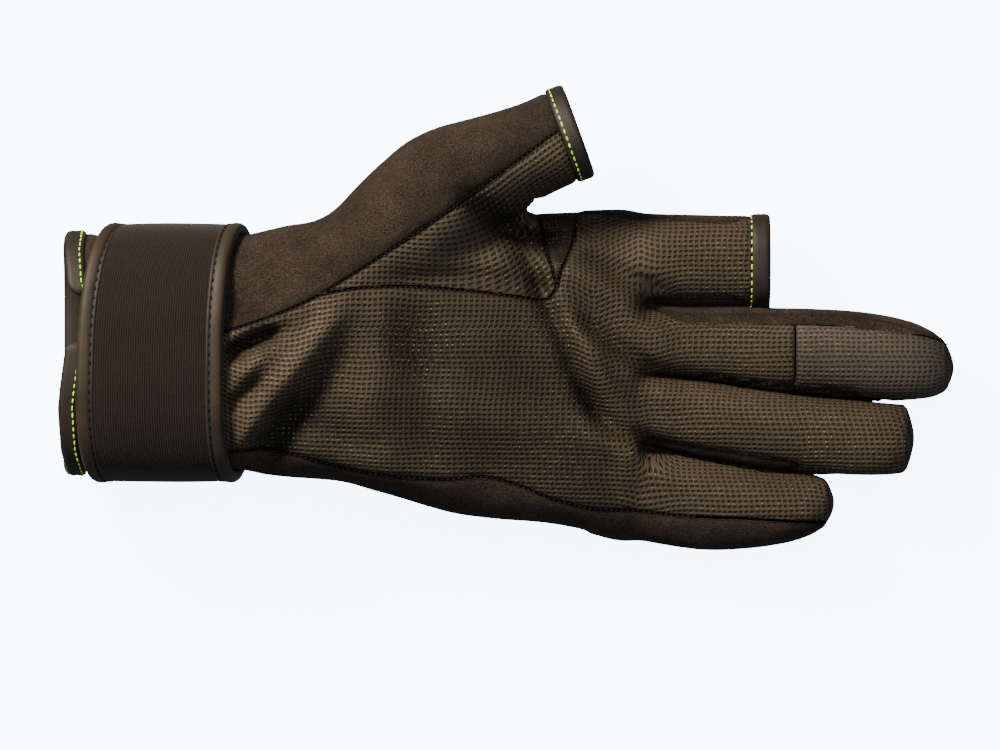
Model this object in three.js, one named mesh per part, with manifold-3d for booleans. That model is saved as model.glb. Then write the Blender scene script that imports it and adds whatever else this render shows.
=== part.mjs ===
import * as THREE from 'three';
import { mergeVertices } from 'three/addons/utils/BufferGeometryUtils.js';
import Module from 'manifold-3d';

const wasm = await Module();
wasm.setup();

// Driving dimensions in millimetres. X runs from the cuff to the fingertips, Y to the thumb side
// and Z up out of the palm. The glove lies on its back.
const CUFF_LENGTH = 52;
const PALM_LENGTH = 110;
const WRIST_BREADTH = 70;
const WRIST_DEPTH = 43;
const PALM_BREADTH = 92;
const PALM_DEPTH = 38;
const THUMB_LENGTH = 83;
const THUMB_BREADTH = 33;
const THUMB_DEPTH = 36;
const THUMB_HEADING = 33;
const INDEX_LENGTH = 36.8;
const INDEX_BREADTH = 25.4;
const MIDDLE_LENGTH = 88.5;
const MIDDLE_BREADTH = 24;
const RING_LENGTH = 77.3;
const RING_BREADTH = 21.3;
const LITTLE_LENGTH = 55;
const LITTLE_BREADTH = 26;
const FINGER_DEPTH = 23;
const WALL = 2.4;
const HEM_WIDTH = 4.8;
const HEM_PROUD = 0.5;
const SIDE_STRIP_HEIGHT = 11;
const STRAP_THICKNESS = 2.4;
const STRAP_CLOTH_WIDTH = 28.6;
const BINDING_WIDTH = 4.8;
const BINDING_THICKNESS = 3.2;
const STRAP_OVERLAP = 34;
const STRAP_OFFSET = 11.6;
const PAD_THICKNESS = 1;
const PAD_LENGTH = 26;
const PAD_INSET = 2;
const SLIT_LENGTH = 30;
const SLIT_BREADTH = 13;
const SLIT_BRIDGE = 3;
const TIP_PATCH_LENGTH = 45;
const SEAM_GAP = 0.3;
const LAYER_GAP = 0.3;

// Sizes worked out from the driving dimensions
const PALM_END = CUFF_LENGTH + PALM_LENGTH;
const STRAP_STEP = BINDING_THICKNESS + PAD_THICKNESS + 2 * LAYER_GAP;
const CUFF_LIFT = BINDING_THICKNESS + STRAP_STEP + LAYER_GAP;
const STRAP_WIDTH = STRAP_CLOTH_WIDTH + 2 * (BINDING_WIDTH + SEAM_GAP);
const SEAM_HEIGHT = 0.82 * FINGER_DEPTH;
const TALL = 3 * (PALM_DEPTH + WRIST_DEPTH);
const OVERRUN = 1.5;

// Corners round one section of a closed limb, more of them on the palm side
function ringAngles(palmCount, backCount) {
  const angles = [];
  for (let i = 0; i < palmCount; i += 1) {
    angles.push((Math.PI * i) / palmCount);
  }
  for (let i = 0; i < backCount; i += 1) {
    angles.push(Math.PI + (Math.PI * i) / backCount);
  }
  return angles;
}

// One point of a rounded section: half sizes, squareness and the level on which it is flattened
function sectionPoint(section, angle, grow = 0) {
  const power = 2 / section.square;
  const c = Math.cos(angle);
  const s = Math.sin(angle);
  const across = Math.sign(c) * Math.abs(c) ** power * (section.halfBreadth + grow);
  const above = Math.sign(s) * Math.abs(s) ** power * (section.halfDepth + grow);
  const point = section.centre.clone();
  point.addScaledVector(section.side, across);
  point.z += above;
  point.z = Math.max(point.z, section.floor - grow);
  return point;
}

function sectionAt(x, y, z, breadth, depth, square, floor, turn = 0) {
  const side = new THREE.Vector3(-Math.sin(turn), Math.cos(turn), 0);
  const centre = new THREE.Vector3(x, y, z);
  return { centre, side, halfBreadth: breadth / 2, halfDepth: depth / 2, square, floor };
}

// Folds in the palm: crest or valley lines in shares of the palm's length and breadth, with height
// and half width in shares of the palm's depth
const foldTable = [
  { along: [-0.05, 0.11, 0.24], across: [-0.41, -0.20, 0.03], height: 0.10, spread: 0.13 },
  { along: [0.0, 0.15, 0.26], across: [-0.40, -0.20, -0.01], height: -0.14, spread: 0.12 },
  { along: [-0.05, 0.02, 0.11], across: [-0.13, -0.06, -0.02], height: -0.07, spread: 0.12 },
  { along: [0.44, 0.46, 0.45], across: [-0.02, -0.22, -0.44], height: -0.07, spread: 0.30 },
  { along: [0.72, 0.83, 0.95], across: [-0.02, -0.16, -0.33], height: -0.06, spread: 0.20 },
  { along: [0.62, 0.68, 0.74], across: [0.30, 0.22, 0.10], height: -0.16, spread: 0.26 },
];

function distanceToLine(x, y, fold) {
  let nearest = Infinity;
  for (let i = 0; i < fold.along.length - 1; i += 1) {
    const start = new THREE.Vector2(...palmSpot(fold.along[i], fold.across[i]));
    const end = new THREE.Vector2(...palmSpot(fold.along[i + 1], fold.across[i + 1]));
    const run = end.clone().sub(start);
    const here = new THREE.Vector2(x, y).sub(start);
    const share = THREE.MathUtils.clamp(here.dot(run) / run.lengthSq(), 0, 1);
    nearest = Math.min(nearest, here.addScaledVector(run, -share).length());
  }
  return nearest;
}

function palmSpot(along, across) {
  return [CUFF_LENGTH + along * PALM_LENGTH, across * PALM_BREADTH];
}

function foldLift(x, y) {
  let lift = 0;
  for (const fold of foldTable) {
    const spread = fold.spread * PALM_DEPTH;
    const share = distanceToLine(x, y, fold) / spread;
    lift += fold.height * PALM_DEPTH * Math.exp(-share * share);
  }
  return lift * THREE.MathUtils.smoothstep(x, CUFF_LENGTH, CUFF_LENGTH + 0.1 * PALM_LENGTH);
}

// A grid holds a ring of points for each section; folds move only its palm side
function gridOf(sections, angles, folded = false) {
  return sections.map((section) => angles.map((angle) => {
    const point = sectionPoint(section, angle);
    if (folded && Math.sin(angle) > 0) {
      point.z += foldLift(point.x, point.y) * Math.sin(angle);
    }
    return point;
  }));
}

// The same grid moved inward by the wall, with its open ends run past the outer ones
function innerGrid(grid, wall, openStart, openEnd) {
  const rows = grid.length;
  const count = grid[0].length;
  const inner = grid.map((ring, i) => ring.map((point, k) => {
    const before = grid[Math.max(i - 1, 0)][k];
    const after = grid[Math.min(i + 1, rows - 1)][k];
    const left = ring[(k + count - 1) % count];
    const right = ring[(k + 1) % count];
    const along = after.clone().sub(before);
    const round = right.clone().sub(left);
    const inward = along.cross(round).normalize();
    return point.clone().addScaledVector(inward, wall);
  }));
  if (openStart) {
    pushRing(inner[0], ringCentre(grid[1]), ringCentre(grid[0]));
  }
  if (openEnd) {
    pushRing(inner[rows - 1], ringCentre(grid[rows - 2]), ringCentre(grid[rows - 1]));
  }
  return inner;
}

function pushRing(ring, from, to) {
  const way = to.clone().sub(from).normalize();
  for (const point of ring) {
    point.addScaledVector(way, OVERRUN);
  }
}

function ringCentre(ring) {
  const centre = new THREE.Vector3();
  for (const point of ring) {
    centre.addScaledVector(point, 1 / ring.length);
  }
  return centre;
}

// A closed solid through the rings of a grid, each end closed to a middle point
function gridSolid(grid, startPoint = ringCentre(grid[0]), endPoint = ringCentre(grid.at(-1))) {
  const count = grid[0].length;
  const points = [...grid.flat(), startPoint, endPoint];
  const startIndex = points.length - 2;
  const endIndex = points.length - 1;
  const index = [];
  for (let i = 0; i < grid.length - 1; i += 1) {
    for (let k = 0; k < count; k += 1) {
      const a = i * count + k;
      const b = i * count + ((k + 1) % count);
      index.push(a, b, a + count, b, b + count, a + count);
    }
  }
  const last = (grid.length - 1) * count;
  for (let k = 0; k < count; k += 1) {
    const next = (k + 1) % count;
    index.push(startIndex, next, k);
    index.push(endIndex, last + k, last + next);
  }
  const geometry = new THREE.BufferGeometry().setFromPoints(points);
  geometry.setIndex(index);
  return solidOf(geometry);
}

function solidOf(geometry) {
  geometry.deleteAttribute('normal');
  geometry.deleteAttribute('uv');
  const merged = mergeVertices(geometry, 1e-4);
  return new wasm.Manifold(new wasm.Mesh({
    numProp: 3,
    vertProperties: new Float32Array(merged.attributes.position.array),
    triVerts: new Uint32Array(merged.index.array),
  }));
}

// Cuff and palm, section by section
const cuffRows = [
  { along: 0.0, thumb: 0.346, little: -0.618, back: 0.0, palm: 0.98 },
  { along: 0.07, thumb: 0.334, little: -0.604, back: 0.0, palm: 0.98 },
  { along: 0.45, thumb: 0.334, little: -0.604, back: 0.0, palm: 0.98 },
  { along: 0.85, thumb: 0.334, little: -0.604, back: 0.0, palm: 0.98 },
  { along: 1.04, thumb: 0.334, little: -0.604, back: 0.0, palm: 0.98 },
];
const palmRows = [
  { along: 0.06, thumb: 0.272, little: -0.474, back: 0.20, palm: 1.31 },
  { along: 0.12, thumb: 0.290, little: -0.485, back: 0.17, palm: 1.29 },
  { along: 0.18, thumb: 0.288, little: -0.488, back: 0.14, palm: 1.26 },
  { along: 0.25, thumb: 0.288, little: -0.498, back: 0.11, palm: 1.22 },
  { along: 0.32, thumb: 0.290, little: -0.522, back: 0.08, palm: 1.18 },
  { along: 0.39, thumb: 0.298, little: -0.546, back: 0.055, palm: 1.13 },
  { along: 0.46, thumb: 0.304, little: -0.572, back: 0.03, palm: 1.08 },
  { along: 0.53, thumb: 0.310, little: -0.594, back: 0.01, palm: 1.04 },
  { along: 0.60, thumb: 0.316, little: -0.606, back: 0.0, palm: 1.0 },
  { along: 0.67, thumb: 0.320, little: -0.614, back: 0.0, palm: 0.97 },
  { along: 0.74, thumb: 0.323, little: -0.620, back: 0.0, palm: 0.94 },
  { along: 0.81, thumb: 0.326, little: -0.632, back: 0.0, palm: 0.90 },
  { along: 0.88, thumb: 0.328, little: -0.650, back: 0.0, palm: 0.84 },
  { along: 0.94, thumb: 0.328, little: -0.668, back: 0.0, palm: 0.75 },
  { along: 0.985, thumb: 0.320, little: -0.662, back: 0.01, palm: 0.655 },
  { along: 1.005, thumb: 0.295, little: -0.630, back: 0.06, palm: 0.58 },
];
const BACK_SAG = 0.05;
const BODY_SQUARE = 2.5;

function bodySection(x, thumbEdge, littleEdge, back, palm) {
  const depth = (palm - back) * (1 + BACK_SAG);
  const middle = palm - depth / 2;
  return sectionAt(x, (thumbEdge + littleEdge) / 2, middle, thumbEdge - littleEdge, depth,
    BODY_SQUARE, back);
}

// The palm's back height falls from the lifted cuff to the resting plane
function bodySections() {
  const start = HEM_WIDTH + SEAM_GAP;
  const sections = cuffRows.map((row) => bodySection(
    start + row.along * (CUFF_LENGTH - start),
    row.thumb * WRIST_BREADTH,
    row.little * WRIST_BREADTH,
    CUFF_LIFT + row.back * WRIST_DEPTH,
    CUFF_LIFT + row.palm * WRIST_DEPTH,
  ));
  for (const row of palmRows) {
    sections.push(bodySection(
      CUFF_LENGTH + row.along * PALM_LENGTH,
      row.thumb * PALM_BREADTH,
      row.little * PALM_BREADTH,
      row.back * PALM_DEPTH,
      row.palm * PALM_DEPTH,
    ));
  }
  return sections;
}

// Thumb, laid along a straight line that leaves the palm at its heading. Aside is the way off that
// line and turn the heading of a section from it, in degrees.
const THUMB_SQUARE = 2.1;
const THUMB_ROOT = { along: 0.21, across: 0.088 };
const thumbRows = [
  { along: 0.0, aside: 0.0, turn: 6, breadth: 0.84, rise: 0.74, depth: 0.84 },
  { along: 0.12, aside: 0.04, turn: 6, breadth: 0.94, rise: 0.75, depth: 0.94 },
  { along: 0.25, aside: 0.10, turn: 6, breadth: 1.0, rise: 0.77, depth: 1.0 },
  { along: 0.38, aside: 0.15, turn: 4, breadth: 1.03, rise: 0.79, depth: 1.02 },
  { along: 0.50, aside: 0.18, turn: -2, breadth: 1.03, rise: 0.80, depth: 0.99 },
  { along: 0.60, aside: 0.17, turn: -10, breadth: 0.99, rise: 0.81, depth: 0.94 },
  { along: 0.70, aside: 0.13, turn: -13, breadth: 0.91, rise: 0.82, depth: 0.86 },
  { along: 0.80, aside: 0.08, turn: -11, breadth: 0.85, rise: 0.83, depth: 0.79 },
  { along: 0.90, aside: 0.03, turn: -12, breadth: 0.82, rise: 0.84, depth: 0.76 },
  { along: 1.0, aside: 0.0, turn: -13, breadth: 0.82, rise: 0.85, depth: 0.75 },
];

function thumbSpot(along, aside) {
  const heading = THREE.MathUtils.degToRad(THUMB_HEADING);
  const [rootX, rootY] = palmSpot(THUMB_ROOT.along, THUMB_ROOT.across);
  const reach = along * THUMB_LENGTH;
  const off = aside * THUMB_BREADTH;
  return [
    rootX + reach * Math.cos(heading) - off * Math.sin(heading),
    rootY + reach * Math.sin(heading) + off * Math.cos(heading),
  ];
}

function thumbSection(row, back = 0) {
  const [x, y] = thumbSpot(row.along, row.aside);
  const turn = THREE.MathUtils.degToRad(THUMB_HEADING + row.turn);
  return sectionAt(x - back * Math.cos(turn), y - back * Math.sin(turn), row.rise * THUMB_DEPTH,
    row.breadth * THUMB_BREADTH, row.depth * THUMB_DEPTH, THUMB_SQUARE, -TALL, turn);
}

// Fingers, from inside the palm to the tip. Drift is the way off the root's line, rise the height
// of the middle above the resting plane, both in shares of the finger's own sizes.
const indexFinger = {
  length: INDEX_LENGTH,
  breadth: INDEX_BREADTH,
  across: 0.187,
  rows: [
    { along: -0.42, drift: 0.0, breadth: 0.94, rise: 0.54, depth: 0.90 },
    { along: 0.0, drift: 0.0, breadth: 0.99, rise: 0.535, depth: 1.0 },
    { along: 0.35, drift: -0.015, breadth: 1.0, rise: 0.56, depth: 1.0 },
    { along: 0.70, drift: -0.02, breadth: 0.985, rise: 0.60, depth: 0.98 },
    { along: 1.0, drift: -0.02, breadth: 0.985, rise: 0.63, depth: 0.97 },
  ],
};
const middleFinger = {
  length: MIDDLE_LENGTH,
  breadth: MIDDLE_BREADTH,
  across: -0.068,
  rows: [
    { along: -0.17, drift: 0.0, breadth: 0.85, rise: 0.54, depth: 0.90 },
    { along: 0.0, drift: 0.0, breadth: 0.86, rise: 0.535, depth: 1.0 },
    { along: 0.18, drift: -0.02, breadth: 0.83, rise: 0.55, depth: 1.02 },
    { along: 0.30, drift: -0.05, breadth: 0.91, rise: 0.58, depth: 1.0 },
    { along: 0.42, drift: -0.09, breadth: 0.97, rise: 0.62, depth: 0.98 },
    { along: 0.55, drift: -0.12, breadth: 1.01, rise: 0.67, depth: 0.97 },
    { along: 0.70, drift: -0.155, breadth: 1.01, rise: 0.73, depth: 0.94 },
    { along: 0.81, drift: -0.20, breadth: 0.97, rise: 0.77, depth: 0.87 },
    { along: 0.89, drift: -0.24, breadth: 0.87, rise: 0.79, depth: 0.76 },
    { along: 0.95, drift: -0.28, breadth: 0.70, rise: 0.80, depth: 0.58 },
    { along: 0.985, drift: -0.30, breadth: 0.43, rise: 0.80, depth: 0.34 },
  ],
};
const ringFinger = {
  length: RING_LENGTH,
  breadth: RING_BREADTH,
  across: -0.266,
  rows: [
    { along: -0.19, drift: 0.0, breadth: 0.90, rise: 0.53, depth: 0.88 },
    { along: 0.0, drift: 0.0, breadth: 0.95, rise: 0.53, depth: 0.98 },
    { along: 0.13, drift: -0.09, breadth: 0.97, rise: 0.54, depth: 0.98 },
    { along: 0.28, drift: -0.18, breadth: 0.98, rise: 0.57, depth: 0.96 },
    { along: 0.44, drift: -0.28, breadth: 1.0, rise: 0.62, depth: 0.94 },
    { along: 0.60, drift: -0.35, breadth: 1.0, rise: 0.67, depth: 0.93 },
    { along: 0.75, drift: -0.42, breadth: 1.02, rise: 0.72, depth: 0.91 },
    { along: 0.87, drift: -0.455, breadth: 0.99, rise: 0.75, depth: 0.83 },
    { along: 0.94, drift: -0.44, breadth: 0.91, rise: 0.76, depth: 0.70 },
    { along: 0.985, drift: -0.42, breadth: 0.66, rise: 0.76, depth: 0.45 },
  ],
};
const littleFinger = {
  length: LITTLE_LENGTH,
  breadth: LITTLE_BREADTH,
  across: -0.532,
  rows: [
    { along: -0.25, drift: 0.03, breadth: 0.84, rise: 0.51, depth: 0.84 },
    { along: 0.0, drift: 0.0, breadth: 1.02, rise: 0.51, depth: 0.93 },
    { along: 0.15, drift: -0.07, breadth: 1.0, rise: 0.53, depth: 0.93 },
    { along: 0.34, drift: -0.14, breadth: 0.955, rise: 0.56, depth: 0.92 },
    { along: 0.53, drift: -0.17, breadth: 0.87, rise: 0.60, depth: 0.89 },
    { along: 0.68, drift: -0.175, breadth: 0.785, rise: 0.63, depth: 0.84 },
    { along: 0.82, drift: -0.155, breadth: 0.69, rise: 0.65, depth: 0.75 },
    { along: 0.92, drift: -0.12, breadth: 0.56, rise: 0.66, depth: 0.60 },
    { along: 0.98, drift: -0.10, breadth: 0.34, rise: 0.66, depth: 0.36 },
  ],
};
const FINGER_SQUARE = 2.3;
const FINGER_FLOOR = 0.35;

function fingerSection(finger, row) {
  const y = finger.across * PALM_BREADTH + row.drift * finger.breadth;
  return sectionAt(PALM_END + row.along * finger.length, y, row.rise * FINGER_DEPTH,
    row.breadth * finger.breadth, row.depth * FINGER_DEPTH, FINGER_SQUARE, FINGER_FLOOR);
}

// The last section of an open finger stops short of its hem
function openFingerSections(finger) {
  const sections = finger.rows.map((row) => fingerSection(finger, row));
  sections.at(-1).centre.x -= HEM_WIDTH + SEAM_GAP;
  return sections;
}

function fingerTip(finger, wall) {
  const last = finger.rows.at(-1);
  const tip = fingerSection(finger, { ...last, along: 1 }).centre;
  tip.x -= wall;
  return tip;
}

// Outer skin and the hollow inside it
const bodyAngles = ringAngles(22, 10);
const thumbAngles = ringAngles(10, 6);
const fingerAngles = ringAngles(8, 6);

function limb(sections, angles, open, tip = null, folded = false) {
  const grid = gridOf(sections, angles, folded);
  const inner = innerGrid(grid, WALL, open.start, open.end);
  if (tip === null) {
    return { outer: gridSolid(grid), inner: gridSolid(inner) };
  }
  const innerTip = tip.clone();
  innerTip.x -= WALL;
  return {
    outer: gridSolid(grid, ringCentre(grid[0]), tip),
    inner: gridSolid(inner, ringCentre(inner[0]), innerTip),
  };
}

const bodySectionList = bodySections();
const thumbSections = thumbRows.map((row, i) => thumbSection(
  row, i === thumbRows.length - 1 ? HEM_WIDTH + SEAM_GAP : 0));
const limbs = [
  limb(bodySectionList, bodyAngles, { start: true, end: false }, null, true),
  limb(thumbSections, thumbAngles, { start: false, end: true }),
  limb(openFingerSections(indexFinger), fingerAngles, { start: false, end: true }),
];
for (const finger of [middleFinger, ringFinger, littleFinger]) {
  const sections = finger.rows.map((row) => fingerSection(finger, row));
  limbs.push(limb(sections, fingerAngles, { start: false, end: false }, fingerTip(finger, 0)));
}
let shell = limbs.map((part) => part.outer).reduce((sum, part) => sum.add(part));
for (const part of limbs) {
  shell = shell.subtract(part.inner);
}

// Prisms for cutting the shell along its seams, moved outward by a distance
function grownOutline(points, grow) {
  const turn = THREE.ShapeUtils.isClockWise(points) ? -1 : 1;
  const count = points.length;
  return points.map((point, i) => {
    const before = points[(i + count - 1) % count];
    const after = points[(i + 1) % count];
    const into = point.clone().sub(before).normalize();
    const out = after.clone().sub(point).normalize();
    const way = into.add(out).normalize();
    return new THREE.Vector2(point.x + turn * way.y * grow, point.y - turn * way.x * grow);
  });
}

function plainOutline(corners, grow) {
  return new THREE.Shape(grownOutline(corners.map(([x, y]) => new THREE.Vector2(x, y)), grow));
}

// A prism over an outline in plan, from one height to another
function prism(corners, grow, low, high) {
  const shape = plainOutline(corners, grow);
  const geometry = new THREE.ExtrudeGeometry(shape, { depth: high - low, bevelEnabled: false });
  geometry.translate(0, 0, low);
  return solidOf(geometry);
}

// A band drawn in the XZ plane and extruded along Y
function sideBand(corners, grow, fromY, toY) {
  const shape = plainOutline(corners, grow);
  const geometry = new THREE.ExtrudeGeometry(shape, { depth: toY - fromY, bevelEnabled: false });
  geometry.rotateX(Math.PI / 2);
  geometry.translate(0, toY, 0);
  return solidOf(geometry);
}

function largest(solid) {
  const bodies = solid.decompose();
  bodies.sort((a, b) => b.volume() - a.volume());
  return bodies[0];
}

// Each panel is cut out with a cutter drawn in by half a seam, and what is left loses the same
// cutter grown by half a seam
const pieces = {};
function cutPanel(name, cutter) {
  pieces[name] = largest(shell.intersect(cutter(-SEAM_GAP / 2)));
  shell = shell.subtract(cutter(SEAM_GAP / 2));
}

// Slit in the cuff, open at the hem and closed under the strap
function slitCutter(grow) {
  const half = SLIT_BREADTH / 2;
  const corners = [
    [-OVERRUN, -half],
    [SLIT_LENGTH * 0.35, -half],
    [SLIT_LENGTH, -half * 0.2],
    [SLIT_LENGTH, half * 0.2],
    [SLIT_LENGTH * 0.35, half],
    [-OVERRUN, half],
  ];
  return prism(corners, grow, CUFF_LIFT + WRIST_DEPTH / 2, TALL);
}
shell = shell.subtract(slitCutter(0));

const gussetCorners = [
  palmSpot(0.745, 0.36),
  palmSpot(0.757, 0.234),
  palmSpot(0.770, 0.16),
  palmSpot(0.782, 0.118),
  palmSpot(0.797, 0.145),
  palmSpot(0.815, 0.19),
  palmSpot(0.836, 0.255),
  palmSpot(0.842, 0.36),
];
const thumbPanelCorners = [
  thumbSpot(1.1, 0.0),
  thumbSpot(0.88, 0.02),
  thumbSpot(0.70, 0.0),
  thumbSpot(0.52, -0.05),
  thumbSpot(0.32, -0.12),
  thumbSpot(0.14, -0.14),
  palmSpot(0.20, 0.078),
  palmSpot(0.32, 0.092),
  palmSpot(0.42, 0.096),
  palmSpot(0.555, 0.085),
  palmSpot(0.68, 0.07),
  palmSpot(0.775, 0.085),
  palmSpot(0.80, 0.30),
  thumbSpot(0.9, -1.0),
  thumbSpot(1.1, -1.0),
];
const palmPanelCorners = [
  [SLIT_LENGTH + SLIT_BRIDGE, -0.04 * PALM_BREADTH],
  palmSpot(-0.058, -0.04),
  palmSpot(0.077, 0.015),
  palmSpot(0.20, 0.078),
  palmSpot(0.5, 0.2),
  palmSpot(0.74, 0.34),
  [PALM_END - 0.16 * PALM_LENGTH, 0.6 * PALM_BREADTH],
  [PALM_END + MIDDLE_LENGTH * 1.2, 0.6 * PALM_BREADTH],
  [PALM_END + MIDDLE_LENGTH * 1.2, -PALM_BREADTH],
  [PALM_END + LITTLE_LENGTH * 0.9, -PALM_BREADTH],
  [PALM_END + LITTLE_LENGTH * 0.78, -0.67 * PALM_BREADTH],
  palmSpot(1.27, -0.606),
  palmSpot(1.12, -0.60),
  palmSpot(0.98, -0.582),
  palmSpot(0.82, -0.557),
  palmSpot(0.70, -0.514),
  palmSpot(0.606, -0.481),
  palmSpot(0.45, -0.487),
  palmSpot(0.32, -0.472),
  palmSpot(0.125, -0.414),
  palmSpot(-0.058, -0.405),
  [SLIT_LENGTH + SLIT_BRIDGE, -0.40 * PALM_BREADTH],
];
const tipStart = PALM_END + MIDDLE_LENGTH - TIP_PATCH_LENGTH;
const tipCorners = [
  [tipStart, 0.08 * PALM_BREADTH],
  [PALM_END + MIDDLE_LENGTH * 1.2, 0.08 * PALM_BREADTH],
  [PALM_END + MIDDLE_LENGTH * 1.2, -0.29 * PALM_BREADTH],
  [tipStart, -0.225 * PALM_BREADTH],
];

// The seam along the fingers' sides climbs with their curl
const seamClimb = 0.25 * FINGER_DEPTH;
function seamBand(lower, upper) {
  const far = PALM_END + MIDDLE_LENGTH * 1.2;
  return [
    [PALM_END - 0.30 * PALM_LENGTH, lower],
    [PALM_END, lower],
    [far, lower + seamClimb * 1.2],
    [far, upper + seamClimb * 1.2],
    [PALM_END, upper],
    [PALM_END - 0.30 * PALM_LENGTH, upper],
  ];
}

// What lies above the finger seam, for panels that end on it
function aboveSeam(grow) {
  return sideBand([
    [-OVERRUN, SEAM_HEIGHT],
    [PALM_END, SEAM_HEIGHT],
    [PALM_END + MIDDLE_LENGTH * 1.2, SEAM_HEIGHT + seamClimb * 1.2],
    [PALM_END + MIDDLE_LENGTH * 1.2, TALL],
    [-OVERRUN, TALL],
  ], grow, -2 * PALM_BREADTH, 2 * PALM_BREADTH);
}

const THUMB_SEAM_HEIGHT = 0.8 * THUMB_DEPTH;
cutPanel('thumb_gusset', (grow) => prism(gussetCorners, grow, SEAM_HEIGHT - grow, TALL));
cutPanel('thumb_panel', (grow) => prism(thumbPanelCorners, grow, THUMB_SEAM_HEIGHT - grow, TALL));
cutPanel('middle_tip', (grow) => prism(tipCorners, grow, 0, TALL).intersect(aboveSeam(grow)));
cutPanel('palm_panel', (grow) => prism(palmPanelCorners, grow, 0, TALL).intersect(aboveSeam(grow)));

// Side walls between the fingers
const fingerMiddles = [indexFinger, middleFinger, ringFinger, littleFinger].map((finger) => {
  const drift = finger.rows.at(-4).drift;
  return finger.across * PALM_BREADTH + drift * finger.breadth;
});
const stripNames = ['index_middle_side_strip', 'middle_ring_side_strip', 'ring_little_side_strip'];
stripNames.forEach((name, i) => {
  const lower = SEAM_HEIGHT - SIDE_STRIP_HEIGHT;
  const corners = seamBand(lower, SEAM_HEIGHT + SEAM_GAP);
  cutPanel(name, (grow) => sideBand(corners, grow, fingerMiddles[i + 1], fingerMiddles[i]));
});
pieces.back_panel = largest(shell);

// Hems: a rolled band round each open end, a little proud of the wall
const hemRows = [
  { along: 0.0, proud: 0.3 },
  { along: 0.12, proud: 0.9 },
  { along: 0.75, proud: 1.0 },
  { along: 1.0, proud: 0.4 },
];

function hemSolid(section, way, angles) {
  const at = (distance, grow) => angles.map((angle) => {
    const point = sectionPoint(section, angle, grow);
    return point.addScaledVector(way, distance);
  });
  const outer = hemRows.map((row) => at(SEAM_GAP + row.along * HEM_WIDTH, row.proud * HEM_PROUD));
  const reach = HEM_WIDTH + SEAM_GAP;
  const inner = [at(-OVERRUN, -WALL), at(reach / 2, -WALL), at(reach + OVERRUN, -WALL)];
  return gridSolid(outer).subtract(gridSolid(inner));
}

const cuffWay = new THREE.Vector3(-1, 0, 0);
const thumbTurn = THREE.MathUtils.degToRad(THUMB_HEADING + thumbRows.at(-1).turn);
const thumbWay = new THREE.Vector3(Math.cos(thumbTurn), Math.sin(thumbTurn), 0);
const hemAngles = ringAngles(10, 8);
const backwards = ringAngles(14, 10).reverse();
pieces.cuff_hem = largest(hemSolid(bodySectionList[0], cuffWay, backwards).subtract(slitCutter(0)));
pieces.thumb_hem = hemSolid(thumbSections.at(-1), thumbWay, hemAngles);
const indexSection = openFingerSections(indexFinger).at(-1);
pieces.index_hem = hemSolid(indexSection, cuffWay.clone().negate(), hemAngles);

// Strap: a band wound once round the cuff, its free end lapped over its start on the back. Lean
// moves an edge along X from the back of the wrist to the palm, skew from one side to the other.
const STRAP_START = THREE.MathUtils.degToRad(-112);
const strapEdges = {
  wrist: { along: STRAP_OFFSET, lean: -6.2, skew: 1.9 },
  hand: { along: STRAP_OFFSET + STRAP_WIDTH, lean: -4.4, skew: 0.9 },
};
const cuffSection = bodySectionList[2];
const STRAP_STEPS = 34;

function edgeX(edge, angle) {
  return edge.along + edge.lean * Math.sin(angle) + edge.skew * Math.cos(angle);
}

function lapAngle() {
  return STRAP_OVERLAP / cuffSection.halfBreadth;
}

// Winding lift at an angle: none over the first turn, one step where the end covers the start
function windLift(angle) {
  const rise = THREE.MathUtils.degToRad(26);
  const from = STRAP_START + 2 * Math.PI - rise * 1.6;
  return STRAP_STEP * THREE.MathUtils.smoothstep(angle, from, from + rise);
}

// A band round the wrist whose profile is a list of corners: share of the way from the wrist edge
// to the hand edge, shift along X, and height over the cuff
function woundBand(profile, fromAngle, toAngle, steps) {
  const grid = [];
  for (let i = 0; i <= steps; i += 1) {
    const angle = fromAngle + ((toAngle - fromAngle) * i) / steps;
    grid.push(profile.map((corner) => {
      const point = sectionPoint(cuffSection, angle, LAYER_GAP + corner.over + windLift(angle));
      const wristX = edgeX(strapEdges.wrist, angle);
      const handX = edgeX(strapEdges.hand, angle);
      point.x = THREE.MathUtils.lerp(wristX, handX, corner.share) + corner.shift;
      return point;
    }));
  }
  return gridSolid(grid);
}

const strapEnd = STRAP_START + 2 * Math.PI + lapAngle();
const clothInset = BINDING_WIDTH + SEAM_GAP;
const clothOver = (BINDING_THICKNESS - STRAP_THICKNESS) / 2;
const clothProfile = [
  { share: 0, shift: clothInset, over: clothOver },
  { share: 1, shift: -clothInset, over: clothOver },
  { share: 1, shift: -clothInset, over: clothOver + STRAP_THICKNESS },
  { share: 0, shift: clothInset, over: clothOver + STRAP_THICKNESS },
];
pieces.strap = woundBand(clothProfile, STRAP_START, strapEnd, STRAP_STEPS);

// Bindings: a rounded roll over each long edge of the strap
function bindingProfile(share, sign) {
  const outline = [[0, 0.3], [0.2, 0], [1, 0], [1, 1], [0.2, 1], [0, 0.7]];
  const corners = outline.map(([inward, height]) => ({
    share,
    shift: sign * inward * BINDING_WIDTH,
    over: height * BINDING_THICKNESS,
  }));
  return sign > 0 ? corners : corners.reverse();
}
pieces.strap_binding_wrist = woundBand(bindingProfile(0, 1), STRAP_START, strapEnd, STRAP_STEPS);
pieces.strap_binding_hand = woundBand(bindingProfile(1, -1), STRAP_START, strapEnd, STRAP_STEPS);

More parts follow.
